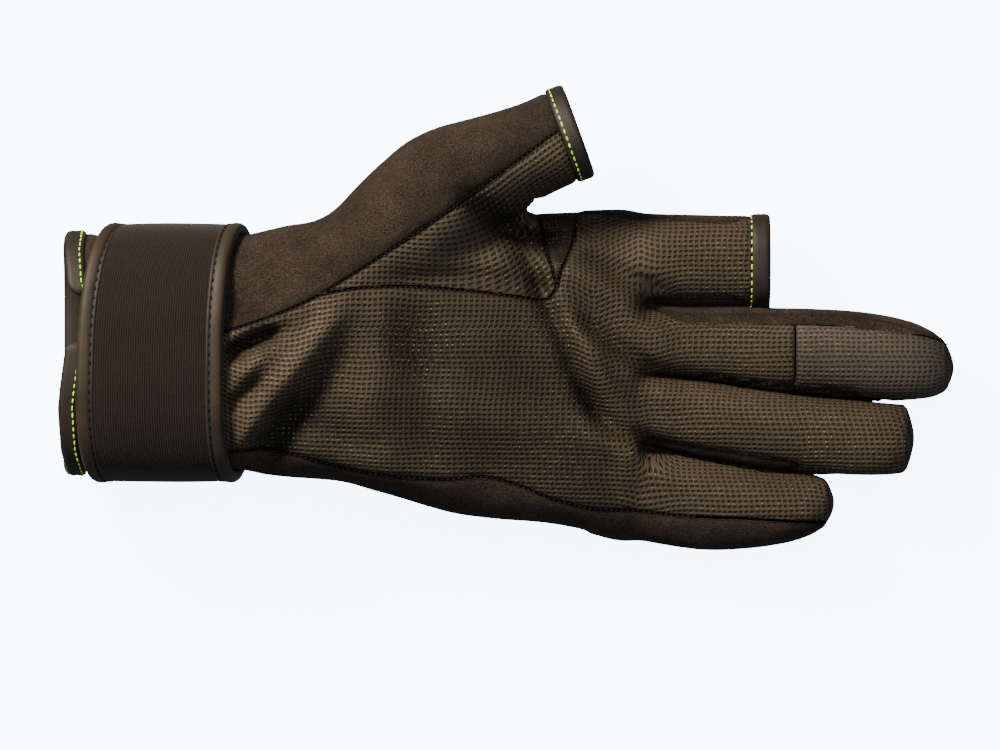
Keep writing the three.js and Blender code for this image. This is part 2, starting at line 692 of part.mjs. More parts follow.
// Fastening pad between the two ends of the strap
const padFrom = STRAP_START + 0.12 * lapAngle();
const padTo = padFrom + PAD_LENGTH / cuffSection.halfBreadth;
const padGrow = clothOver + STRAP_THICKNESS + LAYER_GAP;
const padTop = BINDING_THICKNESS + 2 * LAYER_GAP + PAD_THICKNESS + clothOver - LAYER_GAP;
const padInset = clothInset + PAD_INSET;
const padProfile = [
  { share: 0, shift: padInset, over: padGrow },
  { share: 1, shift: -padInset, over: padGrow },
  { share: 1, shift: -padInset, over: padTop },
  { share: 0, shift: padInset, over: padTop },
];
pieces.hook_pad = woundBand(padProfile, padFrom, padTo, 10);

// Materials
const looks = {
  grip: { color: '#4a4238', roughness: 0.6 },
  neoprene: { color: '#3a332d', roughness: 0.9 },
  webbing: { color: '#1f1b18', roughness: 0.95 },
  binding: { color: '#4b4136', roughness: 0.7 },
};
const lookOf = {
  palm_panel: 'grip',
  thumb_panel: 'grip',
  thumb_gusset: 'grip',
  middle_tip: 'grip',
  strap: 'webbing',
  strap_binding_wrist: 'binding',
  strap_binding_hand: 'binding',
  hook_pad: 'webbing',
};

// Scene graph, with the origin under the middle of the whole glove
const glove = new THREE.Group();
glove.name = 'fishing_glove';
for (const [name, solid] of Object.entries(pieces)) {
  const { vertProperties, triVerts } = solid.getMesh();
  const geometry = new THREE.BufferGeometry();
  geometry.setAttribute('position', new THREE.BufferAttribute(new Float32Array(vertProperties), 3));
  geometry.setIndex(Array.from(triVerts));
  const look = looks[lookOf[name] ?? 'neoprene'];
  const material = new THREE.MeshStandardMaterial({ ...look, metalness: 0 });
  const mesh = new THREE.Mesh(geometry, material);
  mesh.name = name;
  glove.add(mesh);
}
const extent = new THREE.Box3().setFromObject(glove);
const centre = extent.getCenter(new THREE.Vector3());
glove.position.set(-centre.x, -centre.y, -extent.min.z);

export default glove;
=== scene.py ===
import math
from functools import partial

import bmesh
import bpy
import numpy as np
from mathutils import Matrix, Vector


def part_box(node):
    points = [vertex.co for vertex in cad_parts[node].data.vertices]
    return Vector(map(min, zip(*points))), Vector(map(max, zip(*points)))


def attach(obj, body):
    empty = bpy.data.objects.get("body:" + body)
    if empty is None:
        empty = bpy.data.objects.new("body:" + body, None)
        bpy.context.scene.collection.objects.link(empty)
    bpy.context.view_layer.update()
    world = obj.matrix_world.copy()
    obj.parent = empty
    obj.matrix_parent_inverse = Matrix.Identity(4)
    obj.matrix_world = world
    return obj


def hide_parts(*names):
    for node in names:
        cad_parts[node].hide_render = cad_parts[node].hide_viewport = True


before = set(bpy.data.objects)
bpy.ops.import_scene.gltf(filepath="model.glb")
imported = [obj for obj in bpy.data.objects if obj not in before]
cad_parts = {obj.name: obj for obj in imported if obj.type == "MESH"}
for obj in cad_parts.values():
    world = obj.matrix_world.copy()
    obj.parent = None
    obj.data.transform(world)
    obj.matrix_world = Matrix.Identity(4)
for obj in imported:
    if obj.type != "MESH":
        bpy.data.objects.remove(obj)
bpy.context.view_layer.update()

import openvdb
from mathutils import Vector
from mathutils.bvhtree import BVHTree
from mathutils.kdtree import KDTree

# Table, light and camera
# A pale table top under a large soft lamp on the thumb side, seen from straight above the palm by
# a camera at arm's length, with the glove lying on its back.

MM = 0.001
VIEW_WIDTH = 280 * MM
PALM_HEIGHT = 27 * MM
CAMERA_DISTANCE = 2.6
VIEW_CENTRE = (-2.4 * MM, -16.3 * MM)
SENSOR = 36.0


def hex_colour(code, alpha=1.0):
    shares = [int(code[i:i + 2], 16) / 255 for i in (1, 3, 5)]
    linear = [c / 12.92 if c <= 0.04045 else ((c + 0.055) / 1.055) ** 2.4 for c in shares]
    return (*linear, alpha)


def new_material(name, settings):
    material = bpy.data.materials.new(name)
    material.use_nodes = True
    tree = material.node_tree
    shader = tree.nodes["Principled BSDF"]
    for socket, value in settings.items():
        shader.inputs[socket].default_value = value
    return material, tree, shader


table_mesh = bpy.data.meshes.new("table_top")
TABLE_HALF = 4.0
TABLE_DROP = 0.2 * MM
corners = [(x * TABLE_HALF, y * TABLE_HALF, -TABLE_DROP) for x, y in ((-1, -1), (1, -1), (1, 1), (-1, 1))]
table_mesh.from_pydata(corners, [], [(0, 1, 2, 3)])
table = bpy.data.objects.new("table_top", table_mesh)
bpy.context.collection.objects.link(table)
table_paint, _, _ = new_material("pale_table_paint", {
    "Base Color": hex_colour("#F0F6FB"),
    "Roughness": 0.9,
    "Specular IOR Level": 0.1,
    "Emission Color": hex_colour("#C6E1FA"),
    "Emission Strength": 11.0,
})
table_mesh.materials.append(table_paint)
# The table neither lights the glove nor mirrors in it, which keeps the glove's underside dark
table.visible_diffuse = False
table.visible_glossy = False

world = bpy.data.worlds.new("studio_air")
world.use_nodes = True
world.node_tree.nodes["Background"].inputs["Color"].default_value = hex_colour("#D4E6FA")
world.node_tree.nodes["Background"].inputs["Strength"].default_value = 0.22
bpy.context.scene.world = world


def soft_lamp(name, place, aim, size, power, colour):
    data = bpy.data.lights.new(name, "AREA")
    data.shape = "DISK"
    data.size = size
    data.energy = power
    data.color = hex_colour(colour)[:3]
    lamp = bpy.data.objects.new(name, data)
    lamp.location = place
    lamp.rotation_euler = (Vector(aim) - Vector(place)).to_track_quat("-Z", "Y").to_euler()
    bpy.context.collection.objects.link(lamp)


soft_lamp("window_side", (-0.75, 0.75, 0.85), (0, 0, 0), 0.36, 72, "#FFF1DF")
soft_lamp("overhead", (0.2, 0.25, 1.3), (0, 0, 0), 0.8, 10, "#FFFFFF")
soft_lamp("far_side", (0.9, -1.2, 0.5), (0, 0, 0), 1.2, 5, "#DCEAFF")

camera_data = bpy.data.cameras.new("photo_view")
camera_data.sensor_width = SENSOR
camera_data.lens = SENSOR * CAMERA_DISTANCE / VIEW_WIDTH
camera = bpy.data.objects.new("photo_view", camera_data)
camera.location = (*VIEW_CENTRE, PALM_HEIGHT + CAMERA_DISTANCE)
bpy.context.collection.objects.link(camera)
bpy.context.scene.camera = camera

# Sewn body of the glove
# One hollow skin of neoprene and coated grip cloth, drawn over the hand from section tables and
# later cut into its sewn panels. The back is neoprene, the palm side is the grip cloth.

CUFF_LENGTH = 52.0
PALM_LENGTH = 110.0
PALM_END = CUFF_LENGTH + PALM_LENGTH
WRIST_BREADTH = 70.0
WRIST_DEPTH = 43.0
CUFF_LIFT = 8.3
PALM_BREADTH = 92.0
PALM_DEPTH = 38.0
THUMB_LENGTH = 83.0
THUMB_BREADTH = 33.0
THUMB_DEPTH = 36.0
THUMB_HEADING = math.radians(33)
THUMB_ROOT = (75.1, 8.1)
FINGER_DEPTH = 23.0
HEM_WIDTH = 4.8
SEAM_GAP = 0.3
WALL = 2.3
VOXEL = 0.95


def columns(names, rows):
    """A table of sections, read as one named array to a column."""
    return dict(zip(names.split(), np.array(rows, float).T))


def follow(table, name, at):
    """A column's value at a place along, eased smoothly from one section to the next."""
    knots, values = table["along"], table[name]
    slopes = np.gradient(values, knots)
    at = np.clip(at, knots[0], knots[-1])
    i = np.clip(np.searchsorted(knots, at) - 1, 0, len(knots) - 2)
    span = knots[i + 1] - knots[i]
    t = (at - knots[i]) / span
    ease = t * t * (3 - 2 * t)
    start_pull = t * (1 - t) ** 2 * span * slopes[i]
    end_pull = t * t * (t - 1) * span * slopes[i + 1]
    return values[i] * (1 - ease) + values[i + 1] * ease + start_pull + end_pull


# Sections in shares: the place along, the reach to the thumb's and the little finger's side by breadth, and
# the levels of the back and of the palm by depth
CUFF_SECTIONS = columns("along thumb little back palm", [
    (-0.10, 0.346, -0.618, 0.00, 0.98),
    (0.10, 0.346, -0.618, 0.00, 0.98),
    (0.17, 0.334, -0.604, 0.00, 0.98),
    (0.55, 0.334, -0.604, 0.00, 0.98),
    (0.98, 0.334, -0.604, 0.00, 0.98),
])
PALM_SECTIONS = columns("along thumb little back palm", [
    (0.05, 0.270, -0.474, 0.205, 1.31),
    (0.12, 0.288, -0.483, 0.17, 1.29),
    (0.18, 0.288, -0.488, 0.14, 1.26),
    (0.25, 0.288, -0.498, 0.11, 1.22),
    (0.32, 0.290, -0.522, 0.08, 1.18),
    (0.39, 0.298, -0.546, 0.055, 1.13),
    (0.46, 0.304, -0.572, 0.03, 1.08),
    (0.53, 0.310, -0.594, 0.01, 1.04),
    (0.60, 0.316, -0.606, 0.00, 1.00),
    (0.67, 0.320, -0.614, 0.00, 0.97),
    (0.74, 0.323, -0.620, 0.00, 0.94),
    (0.81, 0.326, -0.632, 0.00, 0.90),
    (0.88, 0.328, -0.650, 0.00, 0.84),
    (0.94, 0.328, -0.668, 0.00, 0.75),
    (1.00, 0.322, -0.664, 0.01, 0.66),
])
BODY = {"along": np.concatenate([CUFF_SECTIONS["along"] * CUFF_LENGTH,
                                 CUFF_LENGTH + PALM_SECTIONS["along"] * PALM_LENGTH])}
for side in ("thumb", "little"):
    BODY[side] = np.concatenate([CUFF_SECTIONS[side] * WRIST_BREADTH, PALM_SECTIONS[side] * PALM_BREADTH])
for side in ("back", "palm"):
    BODY[side] = np.concatenate([CUFF_LIFT + CUFF_SECTIONS[side] * WRIST_DEPTH,
                                 PALM_SECTIONS[side] * PALM_DEPTH])
# Sections of the thumb and the fingers in shares: how far the middle drifts aside, the breadth, the middle's
# level and the depth. The fingers are meshed apart, each pushed aside by its spread, and closed up later.
THUMB = columns("along aside breadth rise depth", [
    (0.00, 0.00, 0.84, 0.74, 0.84),
    (0.12, 0.04, 0.94, 0.75, 0.94),
    (0.25, 0.10, 1.00, 0.77, 1.00),
    (0.38, 0.15, 1.03, 0.79, 1.02),
    (0.50, 0.18, 1.03, 0.80, 0.99),
    (0.60, 0.17, 0.98, 0.81, 0.94),
    (0.70, 0.13, 0.90, 0.82, 0.86),
    (0.80, 0.08, 0.84, 0.83, 0.79),
    (0.90, 0.03, 0.81, 0.84, 0.76),
    (1.00, 0.00, 0.80, 0.85, 0.75),
    (1.10, -0.06, 0.80, 0.85, 0.75),
])
FINGERS = {
    "index": {
        "length": 36.8, "breadth": 25.4, "across": 0.187, "spread": 4.2,
        "sections": columns("along drift breadth rise depth", [
            (-0.42, 0.00, 0.92, 0.54, 0.90),
            (0.00, 0.00, 0.99, 0.535, 1.00),
            (0.35, -0.015, 1.00, 0.56, 1.00),
            (0.70, -0.02, 0.985, 0.60, 0.98),
            (1.20, -0.02, 0.985, 0.63, 0.97),
        ]),
    },
    "middle": {
        "length": 88.5, "breadth": 24.0, "across": -0.068, "spread": 1.4,
        "sections": columns("along drift breadth rise depth", [
            (-0.17, 0.00, 0.85, 0.54, 0.90),
            (0.00, 0.00, 0.86, 0.535, 1.00),
            (0.18, -0.02, 0.83, 0.55, 1.02),
            (0.30, -0.05, 0.91, 0.58, 1.00),
            (0.42, -0.09, 0.97, 0.62, 0.98),
            (0.55, -0.12, 1.01, 0.67, 0.97),
            (0.70, -0.155, 1.01, 0.73, 0.94),
            (0.81, -0.20, 0.97, 0.77, 0.87),
            (0.89, -0.24, 0.87, 0.79, 0.76),
            (0.95, -0.28, 0.69, 0.80, 0.58),
            (0.985, -0.30, 0.43, 0.80, 0.34),
            (1.00, -0.31, 0.06, 0.80, 0.05),
        ]),
    },
    "ring": {
        "length": 77.3, "breadth": 21.3, "across": -0.266, "spread": -1.4,
        "sections": columns("along drift breadth rise depth", [
            (-0.19, 0.00, 0.90, 0.53, 0.88),
            (0.00, 0.00, 0.95, 0.53, 0.98),
            (0.13, -0.09, 0.97, 0.54, 0.98),
            (0.28, -0.18, 0.98, 0.57, 0.96),
            (0.44, -0.28, 1.00, 0.62, 0.94),
            (0.60, -0.35, 1.00, 0.67, 0.93),
            (0.75, -0.42, 1.02, 0.72, 0.91),
            (0.87, -0.455, 0.99, 0.75, 0.83),
            (0.94, -0.44, 0.91, 0.76, 0.70),
            (0.985, -0.42, 0.62, 0.76, 0.45),
            (1.00, -0.42, 0.06, 0.76, 0.05),
        ]),
    },
    "little": {
        "length": 55.0, "breadth": 26.0, "across": -0.532, "spread": -4.2,
        "sections": columns("along drift breadth rise depth", [
            (-0.25, 0.03, 0.84, 0.51, 0.84),
            (0.00, 0.00, 1.02, 0.51, 0.93),
            (0.15, -0.07, 1.00, 0.53, 0.93),
            (0.34, -0.14, 0.955, 0.56, 0.92),
            (0.53, -0.17, 0.87, 0.60, 0.89),
            (0.68, -0.175, 0.785, 0.63, 0.84),
            (0.82, -0.155, 0.69, 0.65, 0.75),
            (0.92, -0.12, 0.56, 0.66, 0.60),
            (0.98, -0.10, 0.34, 0.66, 0.36),
            (1.00, -0.10, 0.06, 0.66, 0.05),
        ]),
    },
}
# How square each rounded section is, and how much deeper the body's is drawn before its flat back cuts it
BODY_SQUARE = 2.5
THUMB_SQUARE = 2.1
FINGER_SQUARE = 2.3
FULL_DEPTH = 1.05

# Everything below is worked out from the cuff's hem edge and then moved into the frame
hem_low, hem_high = (np.array(corner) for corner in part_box("cuff_hem"))
HEM_MIDDLE = (CUFF_SECTIONS["thumb"][0] + CUFF_SECTIONS["little"][0]) / 2 * WRIST_BREADTH
FRAME_SHIFT = np.array([hem_low[0], (hem_low[1] + hem_high[1]) / 2 - HEM_MIDDLE * MM, 0.0])


def into_frame(points):
    """Millimetres from the hem edge as metres in the frame."""
    return np.asarray(points, float) * MM + FRAME_SHIFT


def smooth_step(low, high, at):
    t = np.clip((at - low) / (high - low), 0, 1)
    return t * t * (3 - 2 * t)


def rounded_section(across, above, half_breadth, half_depth, square):
    """Rough distance to a section between an ellipse and a rectangle, negative inside."""
    ratio = np.abs(across / half_breadth) ** square + np.abs(above / half_depth) ** square
    reach = np.maximum(ratio ** (1 / square), 1e-3)
    return np.hypot(across, above) * (1 - 1 / reach)


def blended(a, b, softness):
    """Two forms joined with a soft crease, as distances."""
    share = np.clip(0.5 + 0.5 * (b - a) / softness, 0, 1)
    return b + (a - b) * share - softness * share * (1 - share)


def opening_spread(x):
    """The share of its spread that a finger is pushed aside, from none on the palm to all."""
    return smooth_step(PALM_END - 5, PALM_END + 9, x)


def finger_middle(finger, x):
    along = (x - PALM_END) / finger["length"]
    return finger["across"] * PALM_BREADTH + follow(finger["sections"], "drift", along) * finger["breadth"]


def finger_half(finger, x):
    along = (x - PALM_END) / finger["length"]
    return follow(finger["sections"], "breadth", along) * finger["breadth"] / 2


GRID_LOW = np.array([-6.0, -76.0, -5.0])
GRID_HIGH = np.array([256.0, 76.0, 58.0])
FAR = 6.0
# How softly one form runs into the next, in millimetres
BACK_EASE = 2.0
KNUCKLE_EASE = 5.0
THUMB_EASE = 7.0
FINGER_EASE = 4.5
REST_EASE = 1.5
REST_LEVEL = 0.35
THUMB_BEYOND = 1.09
FINGER_END_SLOPE = 3
grid_x, grid_y, grid_z = (np.arange(low, high, VOXEL) for low, high in zip(GRID_LOW, GRID_HIGH))
X = grid_x[:, None, None]
Y = grid_y[None, :, None]
Z = grid_z[None, None, :]


def body_field():
    thumb = follow(BODY, "thumb", X)
    little = follow(BODY, "little", X)
    back = follow(BODY, "back", X)
    palm = follow(BODY, "palm", X)
    depth = (palm - back) * FULL_DEPTH
    skin = rounded_section(Y - (thumb + little) / 2, Z - (palm - depth / 2), (thumb - little) / 2,
                           depth / 2, BODY_SQUARE)
    skin = -blended(-skin, Z - back, BACK_EASE)
    return -blended(-skin, PALM_END - X, KNUCKLE_EASE)


def on_thumb(x, y):
    """How far a place lies along the thumb and beside its axis."""
    c, s = math.cos(THUMB_HEADING), math.sin(THUMB_HEADING)
    along = (x - THUMB_ROOT[0]) * c + (y - THUMB_ROOT[1]) * s
    aside = -(x - THUMB_ROOT[0]) * s + (y - THUMB_ROOT[1]) * c
    return along, aside


def thumb_field():
    along, aside = on_thumb(X, Y)
    share = along / THUMB_LENGTH
    across = aside - follow(THUMB, "aside", share) * THUMB_BREADTH
    above = Z - follow(THUMB, "rise", share) * THUMB_DEPTH
    skin = rounded_section(across, above, follow(THUMB, "breadth", share) * THUMB_BREADTH / 2,
                           follow(THUMB, "depth", share) * THUMB_DEPTH / 2, THUMB_SQUARE)
    skin = np.maximum(skin, -along)
    return np.maximum(skin, along - THUMB_LENGTH * THUMB_BEYOND)


def finger_field(finger):
    sections = finger["sections"]
    share = (X - PALM_END) / finger["length"]
    middle = finger_middle(finger, X) + finger["spread"] * opening_spread(X)
    above = Z - follow(sections, "rise", share) * FINGER_DEPTH
    skin = rounded_section(Y - middle, above, finger_half(finger, X),
                           follow(sections, "depth", share) * FINGER_DEPTH / 2, FINGER_SQUARE)
    skin = -blended(-skin, Z - REST_LEVEL, REST_EASE)
    ends = np.maximum(sections["along"][0] - share, share - sections["along"][-1]) * finger["length"]
    return np.maximum(skin, ends * FINGER_END_SLOPE)


hand = blended(body_field(), thumb_field(), THUMB_EASE)
field = np.full(hand.shape, FAR)
for finger in FINGERS.values():
    field = np.minimum(field, blended(hand, finger_field(finger), FINGER_EASE))
field = np.clip(field, -FAR, FAR)
for axis in range(3):
    field = (np.roll(field, 1, axis) + 2 * field + np.roll(field, -1, axis)) / 4
field = np.maximum(field, REST_LEVEL - Z)
field = field.astype(np.float32) / VOXEL


def surface_of(grid, level):
    """The grid's surface at a level as points and quads that look outwards."""
    points, quads = grid.convertToQuads(isovalue=level)
    points = points.astype(float)
    a, b, c, d = (points[quads[:, k]] for k in range(4))
    volume = np.sum(a * (np.cross(b, c) + np.cross(c, d)))
    return points, quads if volume > 0 else quads[:, ::-1]


outer_grid = openvdb.FloatGrid(FAR / VOXEL)
outer_grid.copyFromArray(field)
outer_points, outer_quads = surface_of(outer_grid, 0.0)
true_grid = openvdb.FloatGrid.createLevelSetFromPolygons(
    outer_points.astype(np.float32), quads=outer_quads.astype(np.uint32), halfWidth=5.0)
inner_points, inner_quads = surface_of(true_grid, -WALL / VOXEL)

# Neighbouring fingers touch below this height, within this reach of the gap. They overlap by a hair, and
# by more below their widest height, where their round sides part again.
TOUCH_TOP = 15
TOUCH_FADE = 8
TOUCH_REACH = 3.0
WIDEST_GAP = 4
OVERLAP = 0.15
OVERLAP_BELOW = 0.9
WIDEST_BAND = 2.5


def closed_up(points):
    """Slide the fingers back together after they were meshed apart, their sides almost touching."""
    x, y, z = points.T
    fingers = list(FINGERS.values())
    apart = opening_spread(x)
    shift = np.full(len(x), fingers[-1]["spread"]) * apart
    for upper, lower in zip(fingers, fingers[1:]):
        shorter = min(upper["length"], lower["length"])
        inside = np.minimum(x, PALM_END + 0.93 * shorter)
        top = finger_middle(upper, inside) + upper["spread"] * apart - finger_half(upper, inside)
        low = finger_middle(lower, inside) + lower["spread"] * apart + finger_half(lower, inside)
        gap = np.maximum(top - low, 1.2)
        side = y - (top + low) / 2
        opened = (upper["spread"] - lower["spread"]) * apart
        shift += opened * np.clip(side / gap + 0.5, 0, 1)
        close = np.exp(-((np.abs(side) - gap / 2) / TOUCH_REACH) ** 2)
        close *= smooth_step(TOUCH_TOP + TOUCH_FADE, TOUCH_TOP, z)
        close *= smooth_step(PALM_END - 1, PALM_END + 4, x)
        ended = smooth_step(shorter + 2, 0.8 * shorter, x - PALM_END)
        widest = follow(upper["sections"], "rise", (inside - PALM_END) / upper["length"]) * FINGER_DEPTH
        left = np.clip(gap - opened, 0, WIDEST_GAP) + OVERLAP
        left += OVERLAP_BELOW * smooth_step(widest + WIDEST_BAND, widest - WIDEST_BAND, z)
        shift += np.sign(side) * left / 2 * close * ended
    points[:, 1] = y - shift
    return points


outer_points = closed_up(outer_points * VOXEL + GRID_LOW)
inner_points = closed_up(inner_points * VOXEL + GRID_LOW)

# The worn cuff's edge isn't straight: how far it is pulled towards the hand, by place across, in millimetres
CUFF_PULL_ACROSS = (-50, -45, -37, -25, -20, -6, 7, 10, 19, 26)
CUFF_PULL = (3.0, 2.5, 0.6, 0.0, 0.5, 2.4, 3.6, 2.5, 1.7, 2.2)


def pulled(places):
    """Places near the cuff's edge, drawn towards the hand on the palm side."""
    x, y, z = np.moveaxis(np.asarray(places, float), -1, 0)
    pull = np.interp(y, CUFF_PULL_ACROSS, CUFF_PULL)
    pull = pull * (1 - smooth_step(6, 18, x)) * smooth_step(14, 34, z)
    return np.stack([x + pull, y, z], axis=-1)


def palm_spot(along, across):
    """A place in plan from shares of the palm's length and breadth."""
    return np.array([CUFF_LENGTH + along * PALM_LENGTH, across * PALM_BREADTH])


def palm_line(spots):
    return smooth_line([palm_spot(*spot) for spot in spots])


def thumb_spot(along, aside):
    c, s = math.cos(THUMB_HEADING), math.sin(THUMB_HEADING)
    reach, off = along * THUMB_LENGTH, aside * THUMB_BREADTH
    return np.array([THUMB_ROOT[0] + reach * c - off * s, THUMB_ROOT[1] + reach * s + off * c])


def smooth_line(points, steps=8):
    """A curve through a few points, eased from one to the next."""
    points = np.array(points, float)
    before = np.vstack([2 * points[0] - points[1], points[:-2]]) if len(points) > 2 else points[:1]
    after = np.vstack([points[2:], 2 * points[-1] - points[-2]]) if len(points) > 2 else points[-1:]
    line = []
    for p0, p1, p2, p3 in zip(before, points[:-1], points[1:], after):
        for t in np.arange(steps) / steps:
            line.append(0.5 * (2 * p1 + (p2 - p0) * t + (2 * p0 - 5 * p1 + 4 * p2 - p3) * t * t
                               + (3 * p1 - p0 - 3 * p2 + p3) * t ** 3))
    return np.array(line + [points[-1]])


def line_distance(places, line):
    """Distance to a line, and the share of the line at which its nearest point lies."""
    nearest = np.full(len(places), np.inf)
    reached = np.zeros(len(places))
    for k, (start, end) in enumerate(zip(line[:-1], line[1:])):
        run = end - start
        here = places - start
        share = np.clip(here @ run / (run @ run), 0, 1)
        away = np.hypot(*(here - share[:, None] * run).T)
        reached = np.where(away < nearest, (k + share) / (len(line) - 1), reached)
        nearest = np.minimum(nearest, away)
    return nearest, reached


# Folds of the worn palm: lines in shares of the palm, height and half width in millimetres
FOLDS = [
    ([(-0.30, -0.50), (-0.05, -0.42), (0.03, -0.32), (0.11, -0.20), (0.175, -0.09), (0.22, -0.01),
      (0.25, 0.05)], 3.6, 4.2),
    ([(-0.30, -0.60), (-0.05, -0.52), (0.05, -0.42), (0.12, -0.31), (0.19, -0.18), (0.25, -0.07)],
     -4.3, 6.2),
    ([(-0.25, -0.56), (-0.02, -0.45), (0.05, -0.38), (0.10, -0.29), (0.15, -0.20)], -3.5, 4.0),
    ([(-0.07, -0.065), (0.03, -0.03), (0.11, 0.0)], 2.6, 2.4),
    ([(-0.07, -0.13), (0.02, -0.068), (0.10, -0.025)], -5.4, 2.6),
    ([(-0.07, -0.22), (0.0, -0.17), (0.06, -0.10)], 1.6, 2.4),
    ([(-0.07, -0.28), (-0.01, -0.235), (0.05, -0.16)], -2.2, 2.4),
    ([(0.335, 0.10), (0.345, -0.02), (0.33, -0.20), (0.30, -0.36)], 1.5, 5.6),
    ([(0.425, 0.09), (0.435, -0.04), (0.45, -0.18), (0.45, -0.34), (0.44, -0.50)], -1.8, 6.8),
    ([(0.60, 0.08), (0.62, -0.10), (0.64, -0.28), (0.64, -0.44)], 1.0, 7.0),
    ([(0.72, 0.14), (0.765, 0.04), (0.80, -0.05), (0.835, -0.15), (0.88, -0.26), (0.92, -0.35)], -3.0, 2.8),
    ([(0.78, 0.12), (0.83, 0.0), (0.87, -0.10), (0.92, -0.20), (0.98, -0.30)], 2.3, 3.6),
    ([(0.54, 0.42), (0.58, 0.35), (0.635, 0.295), (0.70, 0.25), (0.78, 0.235), (0.86, 0.25)], -5.8, 3.7),
    ([(0.66, 0.24), (0.72, 0.17), (0.745, 0.11), (0.765, 0.06)], -2.8, 2.8),
    ([(0.40, 0.13), (0.52, 0.17), (0.60, 0.18), (0.70, 0.17)], 2.4, 6.5),
    ([(0.30, 0.115), (0.55, 0.13), (0.74, 0.11)], -1.3, 2.6),
    ([(0.32, 0.07), (0.55, 0.05), (0.72, 0.035)], 0.7, 3.0),
    ([(0.77, 0.19), (0.85, 0.13), (0.94, 0.06), (1.02, -0.03), (1.10, -0.10)], 1.9, 3.4),
    ([(0.84, 0.21), (0.91, 0.165), (1.0, 0.11), (1.10, 0.075)], -2.2, 2.8),
    ([(0.81, 0.03), (0.88, -0.03), (0.96, -0.10), (1.03, -0.15), (1.10, -0.185)], -2.8, 2.6),
    ([(0.86, -0.05), (0.93, -0.13), (1.02, -0.21), (1.14, -0.26)], 1.6, 3.4),
    ([(0.84, -0.20), (0.89, -0.28), (0.95, -0.34), (1.03, -0.38), (1.12, -0.405)], -2.8, 2.6),
    ([(0.86, -0.33), (0.95, -0.40), (1.05, -0.46), (1.20, -0.50)], 1.3, 3.6),
    ([(1.08, 0.27), (1.20, 0.22), (1.33, 0.21)], 0.8, 4.0),
    ([(0.97, 0.36), (0.99, 0.20), (1.0, 0.0), (0.99, -0.25), (0.98, -0.45), (0.96, -0.60)], 1.3, 5.5),
    ([(1.04, 0.30), (1.05, 0.20), (1.06, 0.0), (1.05, -0.25), (1.04, -0.45), (1.03, -0.60)], 1.3, 6.0),
    ([(0.70, -0.36), (0.84, -0.42), (1.0, -0.45)], -1.0, 6.0),
    ([(0.16, -0.30), (0.24, -0.36), (0.36, -0.40)], -1.3, 4.0),
]
# Slight unevenness all over: height, the run along and across that turns each wave by a radian, and its start
GENTLE_WAVES = [
    (0.55, 15.5, 4.0, 0.7), (0.40, -11.0, 8.5, 2.1), (0.35, 7.0, -13.0, 4.0), (0.30, 9.5, 5.5, 5.2),
]
# The folds fade over these shares of their length, and partly on the fingers. Under the strap they end, the
# sunk ones farther in than the raised ones.
FOLD_START = (-0.1, 0.28)
FOLD_END = (1.1, 0.72)
FINGER_FOLD_LOSS = 0.55
RAISED_FROM = (CUFF_LENGTH - 5.5, CUFF_LENGTH + 1)
SUNK_FROM = (CUFF_LENGTH - 9, CUFF_LENGTH - 3)


def palm_lift(places):
    """How far the folds lift or sink the palm side, in millimetres."""
    lift = np.zeros(len(places))
    for spots, height, half_width in FOLDS:
        line = palm_line(spots)
        away, reached = line_distance(places, line)
        fade = smooth_step(*FOLD_START, reached) * smooth_step(*FOLD_END, reached)
        lift += height * fade * np.exp(-(away / half_width) ** 2)
    for height, along, across, start in GENTLE_WAVES:
        lift += height * np.sin(places[:, 0] / along + places[:, 1] / across + start)
    raised = smooth_step(*RAISED_FROM, places[:, 0])
    sunk = smooth_step(*SUNK_FROM, places[:, 0])
    return np.where(lift > 0, lift * raised, lift * sunk)


def fold_palm(points):
    """Lift the palm side by its folds, less and less down the sides."""
    x, z = points[:, 0], points[:, 2]
    middle = (follow(BODY, "back", x) + follow(BODY, "palm", x)) / 2
    top = follow(BODY, "palm", x)
    weight = smooth_step(0.0, 0.75, (z - middle) / (top - middle))
    reach = 1 - FINGER_FOLD_LOSS * smooth_step(PALM_END, PALM_END + 25, x)
    points[:, 2] = z + palm_lift(points[:, :2]) * weight * reach
    return points


outer_points = fold_palm(outer_points)
inner_points = fold_palm(inner_points)


def plain_object(name, points, faces, slots=()):
    mesh = bpy.data.meshes.new(name)
    mesh.from_pydata(into_frame(points).tolist(), [], [list(map(int, face)) for face in faces])
    if len(slots):
        mesh.materials.append(None)
        mesh.materials.append(None)
        mesh.polygons.foreach_set("material_index", np.asarray(slots, np.int32))
    mesh.update()
    made = bpy.data.objects.new(name, mesh)
    bpy.context.collection.objects.link(made)
    return made


SKIN, LINING = 0, 1
shell_points = np.vstack([outer_points, inner_points])
shell_faces = np.vstack([outer_quads, inner_quads[:, ::-1] + len(outer_points)])
shell_slots = [SKIN] * len(outer_quads) + [LINING] * len(inner_quads)
shell = plain_object("glove_shell", shell_points, shell_faces, shell_slots)


def prism(outline, low, high):
    """A closed block over a plan outline, for cutting the skin; its faces count as lining."""
    outline = np.array(outline, float)
    following = np.roll(outline, -1, axis=0)
    turn = np.sum(outline[:, 0] * following[:, 1] - following[:, 0] * outline[:, 1])
    if turn < 0:
        outline = outline[::-1]
    count = len(outline)
    points = [(x, y, low) for x, y in outline] + [(x, y, high) for x, y in outline]
    faces = [list(range(count))[::-1], list(range(count, 2 * count))]
    for i in range(count):
        j = (i + 1) % count
        faces.append([i, j, count + j, count + i])
    return plain_object("cutter", points, faces, [LINING] * len(faces))


